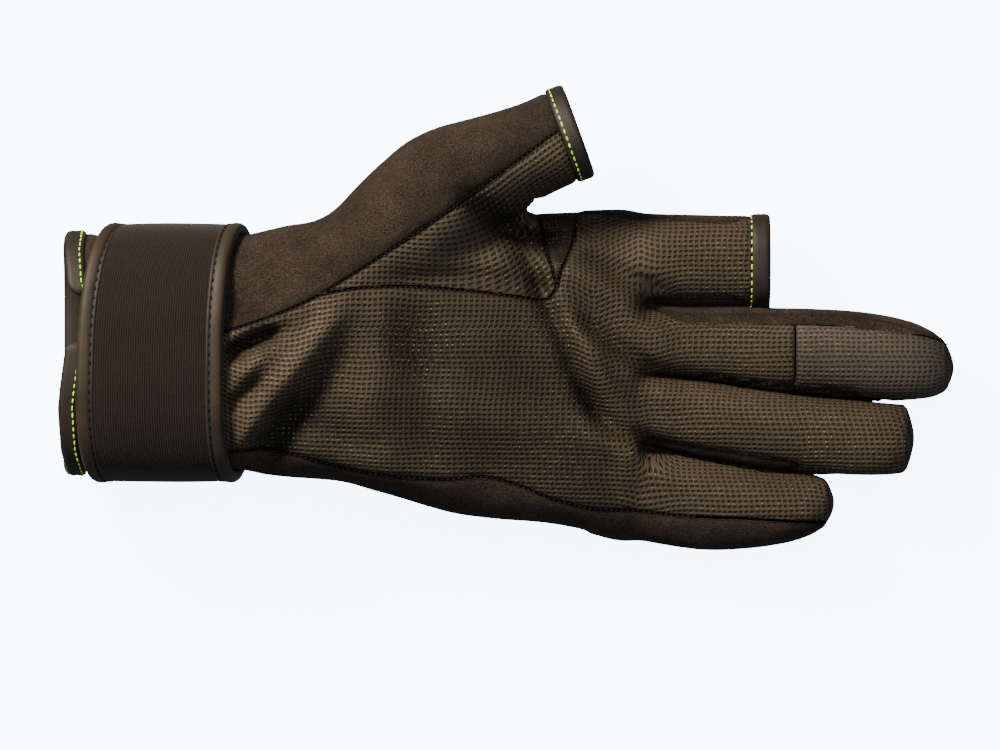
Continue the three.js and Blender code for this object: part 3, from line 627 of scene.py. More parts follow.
def side_band(corners, low_y, high_y):
    """The same over an outline drawn in the XZ plane, run along Y."""
    block = prism([(x, z) for x, z in corners], -high_y, -low_y)
    for vertex in block.data.vertices:
        x, minus_y, z = (np.array(vertex.co) - FRAME_SHIFT)[[0, 2, 1]]
        vertex.co = FRAME_SHIFT + np.array([x, -minus_y, z])
    return block


def grown(outline, distance):
    """A plan outline moved outwards all round."""
    outline = np.array(outline, float)
    before, after = np.roll(outline, 1, axis=0), np.roll(outline, -1, axis=0)
    into = (outline - before) / np.linalg.norm(outline - before, axis=1)[:, None]
    out = (after - outline) / np.linalg.norm(after - outline, axis=1)[:, None]
    way = into + out
    way /= np.linalg.norm(way, axis=1)[:, None]
    turn = np.sign(np.sum(outline[:, 0] * after[:, 1] - after[:, 0] * outline[:, 1]))
    return outline + turn * distance * np.column_stack([way[:, 1], -way[:, 0]])


def carved(body, cutter, operation):
    """The mesh that is left of a body after one cut."""
    step = body.modifiers.new("carve", "BOOLEAN")
    step.operation = operation
    step.solver = "MANIFOLD"
    step.object = cutter
    evaluated = body.evaluated_get(bpy.context.evaluated_depsgraph_get())
    mesh = bpy.data.meshes.new_from_object(evaluated)
    body.modifiers.clear()
    return mesh


def cut_by(body, cutter, operation="DIFFERENCE"):
    body.data = carved(body, cutter, operation)
    bpy.data.objects.remove(cutter)


# Open ends: the cuff, the index and the thumb stop where their hems begin
BELOW = -20.0
TALL = 90.0
WIDE = 120.0
INDEX_SIDES = (3.75, 40)
INDEX_BEYOND = 30
THUMB_BLOCK_LENGTH = 25
THUMB_BLOCK_HALF = 21
THUMB_BLOCK_LOW = 5
CUFF_START = HEM_WIDTH + SEAM_GAP
INDEX_END = PALM_END + FINGERS["index"]["length"] - HEM_WIDTH - SEAM_GAP
THUMB_END_TURN = THUMB_HEADING - math.radians(13)
THUMB_END_WAY = np.array([math.cos(THUMB_END_TURN), math.sin(THUMB_END_TURN)])
cut_by(shell, prism([(BELOW, -WIDE), (CUFF_START, -WIDE), (CUFF_START, WIDE), (BELOW, WIDE)], BELOW, TALL))
index_corners = [(INDEX_END, INDEX_SIDES[0]), (INDEX_END + INDEX_BEYOND, INDEX_SIDES[0]),
                 (INDEX_END + INDEX_BEYOND, INDEX_SIDES[1]), (INDEX_END, INDEX_SIDES[1])]
cut_by(shell, prism(index_corners, BELOW, TALL))
thumb_end = thumb_spot(1.0, 0.0) - (HEM_WIDTH + SEAM_GAP) * THUMB_END_WAY
ahead = THUMB_END_WAY * THUMB_BLOCK_LENGTH
beside = np.array([-THUMB_END_WAY[1], THUMB_END_WAY[0]]) * THUMB_BLOCK_HALF
cut_by(shell, prism([thumb_end - beside, thumb_end - beside + ahead, thumb_end + beside + ahead,
                     thumb_end + beside], THUMB_BLOCK_LOW, TALL))

# Slit of the cuff on the palm side
SLIT_LENGTH = 30.0
SLIT_HALF = 6.5
slit = smooth_line([(-2, -SLIT_HALF), (11, -SLIT_HALF), (24, -3.2), (SLIT_LENGTH, 0), (24, 3.2),
                    (11, SLIT_HALF), (-2, SLIT_HALF)])
cut_by(shell, prism(slit, CUFF_LIFT + WRIST_DEPTH / 2, TALL))

# Seams in plan, through points in shares of the palm
THUMB_SEAM = palm_line([(-0.07, -0.045), (0.0, -0.02), (0.077, 0.012), (0.135, 0.04), (0.19, 0.073),
                        (0.255, 0.122), (0.319, 0.170), (0.378, 0.215), (0.436, 0.259), (0.494, 0.307),
                        (0.553, 0.358), (0.611, 0.410), (0.670, 0.460), (0.726, 0.510), (0.80, 0.578),
                        (0.86, 0.635)])
PALM_SEAM = palm_line([(0.190, 0.073), (0.26, 0.088), (0.319, 0.095), (0.42, 0.098), (0.553, 0.086),
                       (0.67, 0.070), (0.757, 0.058), (0.784, 0.088)])
GUSSET_LEFT = palm_line([(0.735, 0.36), (0.757, 0.238), (0.772, 0.17), (0.784, 0.118), (0.786, 0.098)])
GUSSET_RIGHT = palm_line([(0.790, 0.098), (0.799, 0.145), (0.817, 0.192), (0.832, 0.252),
                          (0.845, 0.36)])
LITTLE_SEAM = palm_line([(-0.07, -0.408), (0.05, -0.398), (0.125, -0.414), (0.225, -0.448),
                         (0.321, -0.472), (0.45, -0.487), (0.517, -0.489), (0.606, -0.481),
                         (0.690, -0.507), (0.775, -0.548), (0.88, -0.580), (0.98, -0.585),
                         (1.12, -0.602), (1.27, -0.609), (1.41, -0.620), (1.487, -0.622),
                         (1.53, -0.622)])
FAR_X = PALM_END + 105
SEAM_HEIGHT = 0.82 * FINGER_DEPTH
SEAM_CLIMB = 0.30 * FINGER_DEPTH
STRIP_HEIGHT = 11.0
STRIP_START = PALM_END - 33
TIP_DIP = 7.5
# How far the seam runs above or below its usual height on the thumb side of each finger
SHOULDER_SEAM = {"index": 0.0, "middle": 4.2, "ring": -7.0, "little": -7.0}


def seam_height(x, y):
    """The palm cloth ends at this height on the fingers' sides, and dips round their tips."""
    height = SEAM_HEIGHT + SEAM_CLIMB * np.clip((x - PALM_END) / (FAR_X - PALM_END), 0, 1)
    for name, finger in FINGERS.items():
        along = (x - PALM_END) / finger["length"]
        half = finger_half(finger, np.minimum(x, PALM_END + 0.7 * finger["length"]))
        aside = (y - finger_middle(finger, x)) / half
        shoulder = smooth_step(0.4, 0.8, aside) * smooth_step(1.14, 1.02, aside)
        tip = TIP_DIP * smooth_step(0.66, 1.0, along) * smooth_step(1.3, 1.0, np.abs(aside))
        if name == "middle":
            tip *= 1 - shoulder
        on_finger = smooth_step(0.0, 0.25, along) * smooth_step(1.04, 0.86, along)
        height = height - tip + SHOULDER_SEAM[name] * shoulder * on_finger
    return height


ROOF_X = np.arange(-12.0, FAR_X, 2.0)
ROOF_Y = np.arange(-84.0, 74.0, 1.0)


def above_seam(grow, height):
    """A closed block over the whole glove whose underside is the seam's height."""
    x, y = np.meshgrid(ROOF_X, ROOF_Y, indexing="ij")
    low = np.stack([x, y, height(x, y) - grow], axis=-1).reshape(-1, 3)
    high = low.copy()
    high[:, 2] = TALL
    rows, row = x.shape
    index = np.arange(rows * row).reshape(rows, row)
    a, b, c, d = index[:-1, :-1], index[1:, :-1], index[1:, 1:], index[:-1, 1:]
    under = np.stack([a, d, c, b], axis=-1).reshape(-1, 4)
    upper = np.stack([a, b, c, d], axis=-1).reshape(-1, 4) + rows * row
    rim = np.concatenate([index[:, 0], index[-1, 1:], index[-2::-1, -1], index[0, -2:0:-1]])
    following = np.roll(rim, -1)
    walls = np.stack([rim, following, following + rows * row, rim + rows * row], axis=-1)
    faces = np.vstack([under, upper, walls])
    return plain_object("cutter", np.vstack([low, high]), faces, [LINING] * len(faces))


def strip_band(grow, low_y, high_y):
    """The block that cuts out the side walls between two neighbouring fingers."""
    lower = SEAM_HEIGHT - STRIP_HEIGHT
    upper = SEAM_HEIGHT + SEAM_GAP
    corners = [(STRIP_START, lower), (PALM_END, lower), (FAR_X, lower + SEAM_CLIMB),
               (FAR_X, upper + SEAM_CLIMB), (PALM_END, upper), (STRIP_START, upper)]
    return side_band(grown(corners, grow), low_y, high_y)


def column_of(items, name, width=1, kind=np.int32):
    """One property of all points, edges or faces of a mesh."""
    values = np.empty(len(items) * width, kind)
    items.foreach_get(name, values)
    return values.reshape(-1, width) if width > 1 else values


def few_corners(mesh):
    """Split the many-cornered faces that a cut leaves."""
    work = bmesh.new()
    work.from_mesh(mesh)
    bmesh.ops.triangulate(work, faces=[face for face in work.faces if len(face.verts) > 4])
    work.to_mesh(mesh)
    work.free()


def largest_piece(made):
    """Drop crumbs that a cut leaves loose."""
    mesh = made.data
    a, b = column_of(mesh.edges, "vertices", 2).T
    label = np.arange(len(mesh.vertices))
    while True:
        low = np.minimum(label[a], label[b])
        before = label.copy()
        np.minimum.at(label, a, low)
        np.minimum.at(label, b, low)
        label = label[label]
        if np.array_equal(label, before):
            break
    main = np.bincount(label).argmax()
    if np.any(label != main):
        work = bmesh.new()
        work.from_mesh(mesh)
        work.verts.ensure_lookup_table()
        loose = [work.verts[i] for i in np.nonzero(label != main)[0]]
        bmesh.ops.delete(work, geom=loose, context="VERTS")
        work.to_mesh(mesh)
        work.free()


def cut_panel(name, cutter):
    """Take a panel out of the skin, half a seam inside its line, and open the skin as much outside."""
    inner = cutter(-SEAM_GAP / 2)
    panel = bpy.data.objects.new(name, carved(shell, inner, "INTERSECT"))
    bpy.data.objects.remove(inner)
    bpy.context.collection.objects.link(panel)
    largest_piece(panel)
    cut_by(shell, cutter(SEAM_GAP / 2))
    return panel


def over_seam(outline, height=seam_height):
    """A cutter for a panel of the palm side: inside its plan outline and above the seam."""

    def cutter(grow):
        block = prism(grown(outline, grow), 0, TALL)
        cut_by(block, above_seam(grow, height), "INTERSECT")
        return block
    return cutter


THUMB_SEAM_HEIGHT = 0.8 * THUMB_DEPTH
gusset_outline = np.vstack([GUSSET_LEFT, GUSSET_RIGHT])
thumb_outline = np.vstack([
    THUMB_SEAM[THUMB_SEAM[:, 0] >= PALM_SEAM[0, 0] - 0.01][::-1][:-1], PALM_SEAM,
    [palm_spot(0.80, 0.30), thumb_spot(0.9, -1.0), thumb_spot(1.15, -0.9)],
])
panels = {}
panels["thumb_gusset"] = cut_panel(
    "gusset", lambda grow: prism(grown(gusset_outline, grow), SEAM_HEIGHT - grow, TALL))

# The seam dips towards the web between thumb and index finger
WEB_SPOT = palm_spot(0.70, 0.29)
WEB_DIP = 13
WEB_REACH = 16


def thumb_seam_height(x, y):
    away = (x - WEB_SPOT[0]) ** 2 + (y - WEB_SPOT[1]) ** 2
    return THUMB_SEAM_HEIGHT - WEB_DIP * np.exp(-away / WEB_REACH ** 2)


panels["thumb_panel"] = cut_panel("thumb_grip", over_seam(thumb_outline, thumb_seam_height))
TIP_START = PALM_END + FINGERS["middle"]["length"] - 45
tip_outline = [(TIP_START, 7), (FAR_X, 7), (FAR_X, -26.8), (TIP_START, -20.5)]
panels["middle_tip"] = cut_panel("middle_tip_patch", over_seam(tip_outline))
palm_outline = np.vstack([
    [(SLIT_LENGTH + 3, -3.7)], THUMB_SEAM[THUMB_SEAM[:, 0] < PALM_SEAM[0, 0]],
    [palm_spot(0.5, 0.2), palm_spot(0.74, 0.34), (PALM_END - 17, 56), (FAR_X, 56), (FAR_X, -90),
     (PALM_END + 59, -90)],
    LITTLE_SEAM[::-1], [(SLIT_LENGTH + 3, -37.5)],
])
panels["palm_panel"] = cut_panel("palm_grip", over_seam(palm_outline))
finger_list = list(FINGERS.values())
strip_names = ["index_middle_side_strip", "middle_ring_side_strip", "ring_little_side_strip"]
for name, upper, lower in zip(strip_names, finger_list, finger_list[1:]):
    middles = [float(finger_middle(finger, PALM_END + 0.6 * finger["length"])) for finger in (lower, upper)]
    panels[name] = cut_panel(name.replace("side_strip", "wall"), lambda grow: strip_band(grow, *middles))
largest_piece(shell)
shell.name = "neoprene_back"
panels["back_panel"] = shell


# Each panel's cloth
# Every point of a panel knows where it lies on the flat cloth and how far it is from the sewn edge, in
# millimetres. The outer face turns in at that edge, and the materials read the same numbers.

ROLL_DEPTH = 0.5
ROLL_REACH = 0.95
FAR_FROM_SEAM = 30.0


def points_of(mesh):
    return (column_of(mesh.vertices, "co", 3, np.float32).astype(float) - FRAME_SHIFT) / MM


def sewn_edge(mesh):
    """Points of the mesh where its outer face ends, and which points are on that face."""
    corners = column_of(mesh.loops, "vertex_index")
    slots, sizes = (column_of(mesh.polygons, name) for name in ("material_index", "loop_total"))
    corner_slots = np.repeat(slots, sizes)
    on_skin = np.zeros(len(mesh.vertices), bool)
    on_lining = np.zeros(len(mesh.vertices), bool)
    on_skin[corners[corner_slots == SKIN]] = True
    on_lining[corners[corner_slots == LINING]] = True
    return on_skin & on_lining, on_skin


def edge_distance(mesh):
    """How far each point of the outer face is from the panel's sewn edge."""
    rim, on_skin = sewn_edge(mesh)
    places = points_of(mesh)
    a, b = column_of(mesh.edges, "vertices", 2).T
    along_rim = rim[a] & rim[b]
    middles = [places[a[along_rim]] * (1 - t) + places[b[along_rim]] * t for t in (0.25, 0.5, 0.75)]
    marks = np.vstack([places[rim], *middles])
    nearest = KDTree(len(marks))
    for i, mark in enumerate(marks):
        nearest.insert(mark, i)
    nearest.balance()
    distance = np.full(len(places), FAR_FROM_SEAM)
    for i in np.nonzero(on_skin)[0]:
        distance[i] = nearest.find(places[i])[2]
    return distance, on_skin


ARC_STEPS = 24


def arc_from_top(across, above, half_breadth, half_depth, square):
    """How far round a rounded section a point lies from its top, as cloth laid on it would run."""
    turn = np.arctan2(np.abs(across) / half_breadth, above / half_depth)
    arc = np.zeros_like(turn)
    last_across, last_above = np.zeros_like(turn), half_depth + np.zeros_like(turn)
    for step in range(1, ARC_STEPS + 1):
        part = turn * step / ARC_STEPS
        sine, cosine = np.abs(np.sin(part)), np.cos(part)
        reach = (sine ** square + np.abs(cosine) ** square) ** (-1 / square)
        next_across, next_above = reach * sine * half_breadth, reach * cosine * half_depth
        arc += np.hypot(next_across - last_across, next_above - last_above)
        last_across, last_above = next_across, next_above
    return np.sign(across) * arc


PLAN_X = np.arange(40.0, 262.0)
PLAN_Y = np.arange(-80.0, 80.0)
plan_places = np.array(np.meshgrid(PLAN_X, PLAN_Y, indexing="ij")).reshape(2, -1).T
plan_lift = palm_lift(plan_places).reshape(len(PLAN_X), len(PLAN_Y))
slope_x, slope_y = np.gradient(plan_lift)
# The cloth stretches over its folds, so its rows show only a share of their extra length
FOLD_SHARE = 0.45
EXTRA_X = np.cumsum(np.hypot(1, slope_x) - 1, axis=0) * FOLD_SHARE
EXTRA_Y = np.cumsum(np.hypot(1, slope_y) - 1, axis=1) * FOLD_SHARE
LIFT_TAKEN = 0.8


def on_plan(values, x, y):
    """A value of the plan grid, read between its points."""
    i = np.clip(x - PLAN_X[0], 0, len(PLAN_X) - 1.001)
    j = np.clip(y - PLAN_Y[0], 0, len(PLAN_Y) - 1.001)
    i0, j0 = i.astype(int), j.astype(int)
    a, b = i - i0, j - j0
    return (values[i0, j0] * (1 - a) * (1 - b) + values[i0 + 1, j0] * a * (1 - b)
            + values[i0, j0 + 1] * (1 - a) * b + values[i0 + 1, j0 + 1] * a * b)


def palm_cloth(places):
    """Where the palm panel's points lie on its flat cloth."""
    x, y, z = places.T
    z = z - on_plan(plan_lift, x, y) * LIFT_TAKEN
    thumb, little = follow(BODY, "thumb", x), follow(BODY, "little", x)
    back, palm = follow(BODY, "back", x), follow(BODY, "palm", x)
    middle = (thumb + little) / 2
    depth = (palm - back) * FULL_DEPTH
    across = middle + arc_from_top(y - middle, z - (palm - depth / 2), (thumb - little) / 2, depth / 2,
                                   BODY_SQUARE)
    nearest = np.full(len(x), np.inf)
    on_finger = across.copy()
    for finger in FINGERS.values():
        centre = finger_middle(finger, x)
        half = finger_half(finger, np.minimum(x, PALM_END + 0.9 * finger["length"]))
        share = np.clip((x - PALM_END) / finger["length"], 0, 0.9)
        above = z - follow(finger["sections"], "rise", share) * FINGER_DEPTH
        half_depth = follow(finger["sections"], "depth", share) * FINGER_DEPTH / 2
        off = np.abs(y - centre) / half + 10 * (x > PALM_END + finger["length"] + 1)
        closer = off < nearest
        nearest = np.where(closer, off, nearest)
        arc = centre + arc_from_top(y - centre, above, half, half_depth, FINGER_SQUARE)
        on_finger = np.where(closer, arc, on_finger)
    share = smooth_step(PALM_END - 4, PALM_END + 12, x)
    across = across * (1 - share) + on_finger * share
    return x + on_plan(EXTRA_X, x, y), across + on_plan(EXTRA_Y, x, y)


ROWS_TURN_AT = 0.5


def thumb_cloth(places):
    """Rows run with the palm's at the root of the thumb and turn along the thumb towards its end."""
    x, y, z = places.T
    along, aside = on_thumb(x, y)
    share = np.clip(along / THUMB_LENGTH, 0, 1)
    centre = follow(THUMB, "aside", share) * THUMB_BREADTH
    half_breadth = follow(THUMB, "breadth", share) * THUMB_BREADTH / 2
    half_depth = follow(THUMB, "depth", share) * THUMB_DEPTH / 2
    above = z - follow(THUMB, "rise", share) * THUMB_DEPTH
    arc = centre + arc_from_top(aside - centre, above, half_breadth, half_depth, THUMB_SQUARE)
    ratio = np.hypot((aside - centre) / half_breadth, above / half_depth)
    reach = smooth_step(0.58, 0.85, share) * (1 - smooth_step(1.15, 1.5, ratio))
    aside = aside * (1 - reach) + arc * reach
    turn_x, turn_y = thumb_spot(ROWS_TURN_AT, 0.0)
    turned = smooth_step(0.20, 0.80, share)
    level_u = x - turn_x + ROWS_TURN_AT * THUMB_LENGTH
    level_v = y - turn_y
    return (level_u * (1 - turned) + along * turned + on_plan(EXTRA_X, x, y),
            level_v * (1 - turned) + aside * turned)


def plain_cloth(places):
    """Jersey has no rows to follow, so its cloth is read in plan."""
    return places[:, 0], places[:, 1]


# Wear of the coat from 0, as new, to 1, with painted light and shade mixed in: its usual value, what each
# millimetre of fold adds, the painted light on the fingers, and the painted shade in the hollow of the palm
# and the painted light on the ball of the thumb. Places and sizes are shares of the palm.
WEAR = 0.58
WEAR_BY_LIFT = 0.10
PAINTED_LIGHT_ON_FINGERS = 0.05
PAINTED_LIGHT_AND_SHADE_SPOTS = (((0.60, -0.12), (0.24, 0.32), -0.42), ((0.48, 0.23), (0.15, 0.09), 0.5))


def wear_and_painted_light_share(places):
    """How pale the coat is: worn paler on the crests, painted lighter on the fingers and the ball of the
    thumb, and painted darker in the middle of the palm, as light and shade.
    """
    along = (places[:, 0] - CUFF_LENGTH) / PALM_LENGTH
    across = places[:, 1] / PALM_BREADTH
    worn = WEAR + WEAR_BY_LIFT * on_plan(plan_lift, places[:, 0], places[:, 1])
    worn += PAINTED_LIGHT_ON_FINGERS * smooth_step(0.70, 1.05, along)
    for spot, size, strength in PAINTED_LIGHT_AND_SHADE_SPOTS:
        worn += strength * np.exp(-((along - spot[0]) / size[0]) ** 2 - ((across - spot[1]) / size[1]) ** 2)
    return np.clip(worn, 0, 1)


PANEL_CREASE = math.radians(50)


def dressed_panel(made, flat_cloth):
    """Give a cut panel its cloth places, its worn share with painted light and shade, and turn its edge in to
    the seam.
    """
    mesh = made.data
    few_corners(mesh)
    distance, on_skin = edge_distance(mesh)
    places = points_of(mesh)
    normals = column_of(mesh.vertices, "normal", 3, np.float32)
    along, across = flat_cloth(places)
    note = mesh.attributes.new("cloth", "FLOAT_VECTOR", "POINT")
    note.data.foreach_set("vector", np.column_stack([along, across, distance]).astype(np.float32).ravel())
    wear_and_painted_light = mesh.attributes.new("wear_and_painted_light", "FLOAT", "POINT")
    wear_and_painted_light.data.foreach_set("value", wear_and_painted_light_share(places).astype(np.float32))
    turn_in = ROLL_DEPTH * np.exp(-(distance / ROLL_REACH) ** 2) * on_skin
    places -= normals * turn_in[:, None]
    mesh.vertices.foreach_set("co", into_frame(pulled(places)).astype(np.float32).ravel())
    mesh.polygons.foreach_set("use_smooth", np.ones(len(mesh.polygons), bool))
    mesh.set_sharp_from_angle(angle=PANEL_CREASE)
    mesh.update()


def add_node(tree, kind, inputs=(), out=0, **settings):
    """Add a node with its settings, feed its inputs with values or other outputs, and give one output."""
    node = tree.nodes.new(kind)
    for name, value in settings.items():
        setattr(node, name, value)
    for socket, value in inputs.items() if isinstance(inputs, dict) else enumerate(inputs):
        if isinstance(value, bpy.types.NodeSocket):
            tree.links.new(value, node.inputs[socket])
        else:
            node.inputs[socket].default_value = value
    return node.outputs[out]


def feed(shader, sources):
    """Link outputs to the shader's inputs by name."""
    for name, source in sources.items():
        shader.id_data.links.new(source, shader.inputs[name])


def to_a_metre(size):
    """How many grains of a size in millimetres go to a metre, for a pattern on Object coordinates."""
    return 1 / (size * MM)


def cloth_notes(tree):
    """The flat cloth place of a point as a vector, and its distance from the sewn edge."""
    note = add_node(tree, "ShaderNodeAttribute", out="Vector", attribute_name="cloth")
    flat = add_node(tree, "ShaderNodeVectorMath", (note, (1.0, 1.0, 0.0)), operation="MULTIPLY")
    return flat, add_node(tree, "ShaderNodeSeparateXYZ", (note,), "Z")


# Sockets of a Mix node that mixes two colours
SHARE, FIRST, SECOND, MIXED = 0, 6, 7, 2
EASED = {"interpolation_type": "SMOOTHSTEP"}
# Grip cloth in millimetres: how its rows waver, the grit of the coat, its cloudiness and the patches where
# its painted glints show
WAVER_LENGTH = 11.1
WAVER = 0.9
COAT_GRAIN = 0.385
COAT_CLOUD = 11.1
COAT_GLINT_PATCH = 29.4
# A hollow's place and shape in its cell of the grid, how strongly its painted shade shows, and the painted
# highlight of light on its edge
HOLLOW_DOWN = 0.02
HOLLOW_OVAL = (0.9, 1.15, 0.0)
HOLLOW_REACH = (0.46, 0.14)
HOLLOW_SHADE = 0.66
GLINT_SPOT = (-0.22, -0.30, 0.0)
GLINT_REACH = (0.19, 0.06)


def grip_material(name, pitch, ridge, grit_and_hollow_shade, depth):
    """Coated cloth pressed into a grid of small hollows: dull and leathery, paler where it is worn and where
    light is painted, with painted shade in the hollows and along the seams, and a painted highlight as a
    glint on the edge of some hollows."""
    material, tree, shader = new_material(name, {"Specular IOR Level": 0.16,
                                                 "Specular Tint": hex_colour("#F2E8D8")})
    node = partial(add_node, tree)
    flat, seam = cloth_notes(tree)
    place = node("ShaderNodeTexCoord", out="Object")
    waver = node("ShaderNodeTexNoise", {"Vector": flat, "Scale": 1 / WAVER_LENGTH, "Detail": 1.0}, "Color")
    waver = node("ShaderNodeVectorMath", (waver, (0.5, 0.5, 0.5)), operation="SUBTRACT")
    waver = node("ShaderNodeVectorMath", (waver, (WAVER, WAVER, 0.0)), operation="MULTIPLY")
    flat = node("ShaderNodeVectorMath", (flat, waver), operation="ADD")
    cells = node("ShaderNodeVectorMath", (flat, (*pitch, 1.0)), operation="DIVIDE")
    within = node("ShaderNodeVectorMath", (cells,), operation="FRACTION")
    within = node("ShaderNodeVectorMath", (within, (0.5, 0.5, 0.0)), operation="SUBTRACT")
    oval = node("ShaderNodeVectorMath", (within, (0.0, HOLLOW_DOWN, 0.0)), operation="SUBTRACT")
    oval = node("ShaderNodeVectorMath", (oval, HOLLOW_OVAL), operation="MULTIPLY")
    oval = node("ShaderNodeVectorMath", (oval,), "Value", operation="LENGTH")
    dent = node("ShaderNodeMapRange", (oval, *HOLLOW_REACH), **EASED)
    cell = node("ShaderNodeVectorMath", (cells,), operation="FLOOR")
    which = node("ShaderNodeTexWhiteNoise", {"Vector": cell}, "Value", noise_dimensions="2D")
    grain = node("ShaderNodeTexNoise", {"Vector": place, "Scale": to_a_metre(COAT_GRAIN)})
    cloudy = node("ShaderNodeTexNoise", {"Vector": place, "Scale": to_a_metre(COAT_CLOUD), "Detail": 3.0})
    worn = node("ShaderNodeTexNoise", {"Vector": place, "Scale": to_a_metre(COAT_GLINT_PATCH),
                                       "Detail": 3.0, "Roughness": 0.6})
    # How worn the coat is, with painted light on the fingers and the ball of the thumb and painted shade in
    # the middle of the palm
    wear_and_painted_light = node("ShaderNodeAttribute", out="Fac", attribute_name="wear_and_painted_light")
    cloud = node("ShaderNodeMath", (cloudy, 0.5, -0.25), operation="MULTIPLY_ADD")
    wear_and_painted_light = node("ShaderNodeMath", (wear_and_painted_light, cloud), operation="ADD", use_clamp=True)
    grit = node("ShaderNodeMapRange", (grain, 0.35, 0.75, 0.0, 0.35), **EASED)
    # The hollows are painted darker, as shade falling in them
    hollow_shade = node("ShaderNodeMath", (dent, HOLLOW_SHADE), operation="MULTIPLY")
    # A painted highlight, a glint on the edge of some hollows, in some patches only
    glint = node("ShaderNodeVectorMath", (within, GLINT_SPOT), "Value", operation="DISTANCE")
    glint = node("ShaderNodeMapRange", (glint, *GLINT_REACH), **EASED)
    for share in (node("ShaderNodeMapRange", (which, 0.35, 1.0), **EASED),
                  node("ShaderNodeMapRange", (worn, 0.36, 0.60), **EASED)):
        glint = node("ShaderNodeMath", (glint, share), operation="MULTIPLY")
    # Painted shade along the sewn edge, where the cloth turns in to the seam
    sewn = node("ShaderNodeMapRange", (seam, 0.05, 0.9, 0.7, 0.0), **EASED)
    # The ridges paler where worn and painted lit, then grit, painted shade in the hollows, a painted
    # highlight for the glints and painted shade along the seam
    tone = hex_colour(ridge[0])
    for share, colour in ((wear_and_painted_light, ridge[1]), (grit, grit_and_hollow_shade), (hollow_shade, grit_and_hollow_shade), (glint, "#6A604A"),
                          (sewn, "#060504")):
        tone = node("ShaderNodeMix", {SHARE: share, FIRST: tone, SECOND: hex_colour(colour)}, MIXED,
                    data_type="RGBA")
    rough = node("ShaderNodeMapRange", (cloudy, 0.3, 0.7, 0.56, 0.66), **EASED)
    rough = node("ShaderNodeMath", (dent, 0.25, rough), operation="MULTIPLY_ADD")
    height = node("ShaderNodeMath", (grain, 0.22), operation="MULTIPLY")
    height = node("ShaderNodeMath", (height, dent), operation="SUBTRACT")
    bump = node("ShaderNodeBump", {"Strength": 1.0, "Distance": depth * MM, "Height": height})
    feed(shader, {"Base Color": tone, "Roughness": rough, "Normal": bump})
    return material


# Jersey in millimetres: its fuzz, its knit, its cloudiness and the depth of its surface
JERSEY_FUZZ = 0.417
JERSEY_KNIT = 0.526
JERSEY_CLOUD = 16.7
JERSEY_DEPTH = 0.16


def neoprene_material(name, light, dark, seam_shade_share=0.7):
    """Knit jersey over foam rubber: matt, mottled and a little fuzzy, with painted shade along the sewn
    edges.
    """
    material, tree, shader = new_material(name, {
        "Specular IOR Level": 0.12, "Roughness": 0.95, "Sheen Weight": 0.10, "Sheen Roughness": 0.45,
        "Sheen Tint": hex_colour("#8A7A6A")})
    node = partial(add_node, tree)
    place = node("ShaderNodeTexCoord", out="Object")
    _, seam = cloth_notes(tree)
    fuzz = node("ShaderNodeTexNoise", {"Vector": place, "Scale": to_a_metre(JERSEY_FUZZ), "Detail": 3.0,
                                       "Roughness": 0.65})
    knit = node("ShaderNodeTexVoronoi", {"Vector": place, "Scale": to_a_metre(JERSEY_KNIT)}, "Distance")
    cloudy = node("ShaderNodeTexNoise", {"Vector": place, "Scale": to_a_metre(JERSEY_CLOUD),
                                         "Detail": 4.0, "Roughness": 0.6})
    mottle = node("ShaderNodeMapRange", (fuzz, 0.36, 0.66), **EASED)
    tone = node("ShaderNodeMix", {SHARE: mottle, FIRST: hex_colour(dark), SECOND: hex_colour(light)}, MIXED,
                data_type="RGBA")
    cloudy = node("ShaderNodeMapRange", (cloudy, 0.3, 0.75), **EASED)
    shade = node("ShaderNodeMix", {SHARE: cloudy, FIRST: hex_colour("#B4B4B4"),
                                   SECOND: hex_colour("#FFFFFF")}, MIXED, data_type="RGBA")
    tone = node("ShaderNodeMix", {SHARE: 1.0, FIRST: tone, SECOND: shade}, MIXED, data_type="RGBA",
                blend_type="MULTIPLY")
    # Painted shade along the sewn edges, where the jersey turns in to the seam
    sewn = node("ShaderNodeMapRange", (seam, 0.1, 1.2, seam_shade_share, 0.0), **EASED)
    tone = node("ShaderNodeMix", {SHARE: sewn, FIRST: tone, SECOND: hex_colour("#0D0B0A")}, MIXED,
                data_type="RGBA")
    height = node("ShaderNodeMath", (knit, 0.6, fuzz), operation="MULTIPLY_ADD")
    bump = node("ShaderNodeBump", {"Strength": 1.0, "Distance": JERSEY_DEPTH * MM, "Height": height})
    feed(shader, {"Base Color": tone, "Normal": bump})
    return material


# Coats by the pitch of their hollows, the ridges' dark tone and their paler one for wear and painted light,
# the tone of the grit and of the painted shade in the hollows, and the hollows' depth
grip_cloth = grip_material("grip_cloth_coat", (1.57, 1.44), ("#12100B", "#3E362B"), "#0C0A07", 0.4)
tip_cloth = grip_material("tip_patch_coat", (1.53, 1.41), ("#1A1712", "#423C36"), "#15120E", 0.22)
gusset_cloth = grip_material("gusset_coat", (1.05, 1.0), ("#100C09", "#221B15"), "#090706", 0.12)
neoprene = neoprene_material("neoprene_jersey", "#342B22", "#110E0B")
lining_cloth = neoprene_material("lining_jersey", "#1E1B18", "#110F0D", 0.0)
PANEL_CLOTH = {
    "palm_panel": (grip_cloth, "grip_cloth", palm_cloth),
    "thumb_panel": (grip_cloth, "grip_cloth", thumb_cloth),
    "middle_tip": (tip_cloth, "grip_cloth", palm_cloth),
    "thumb_gusset": (gusset_cloth, "grip_cloth", palm_cloth),
}
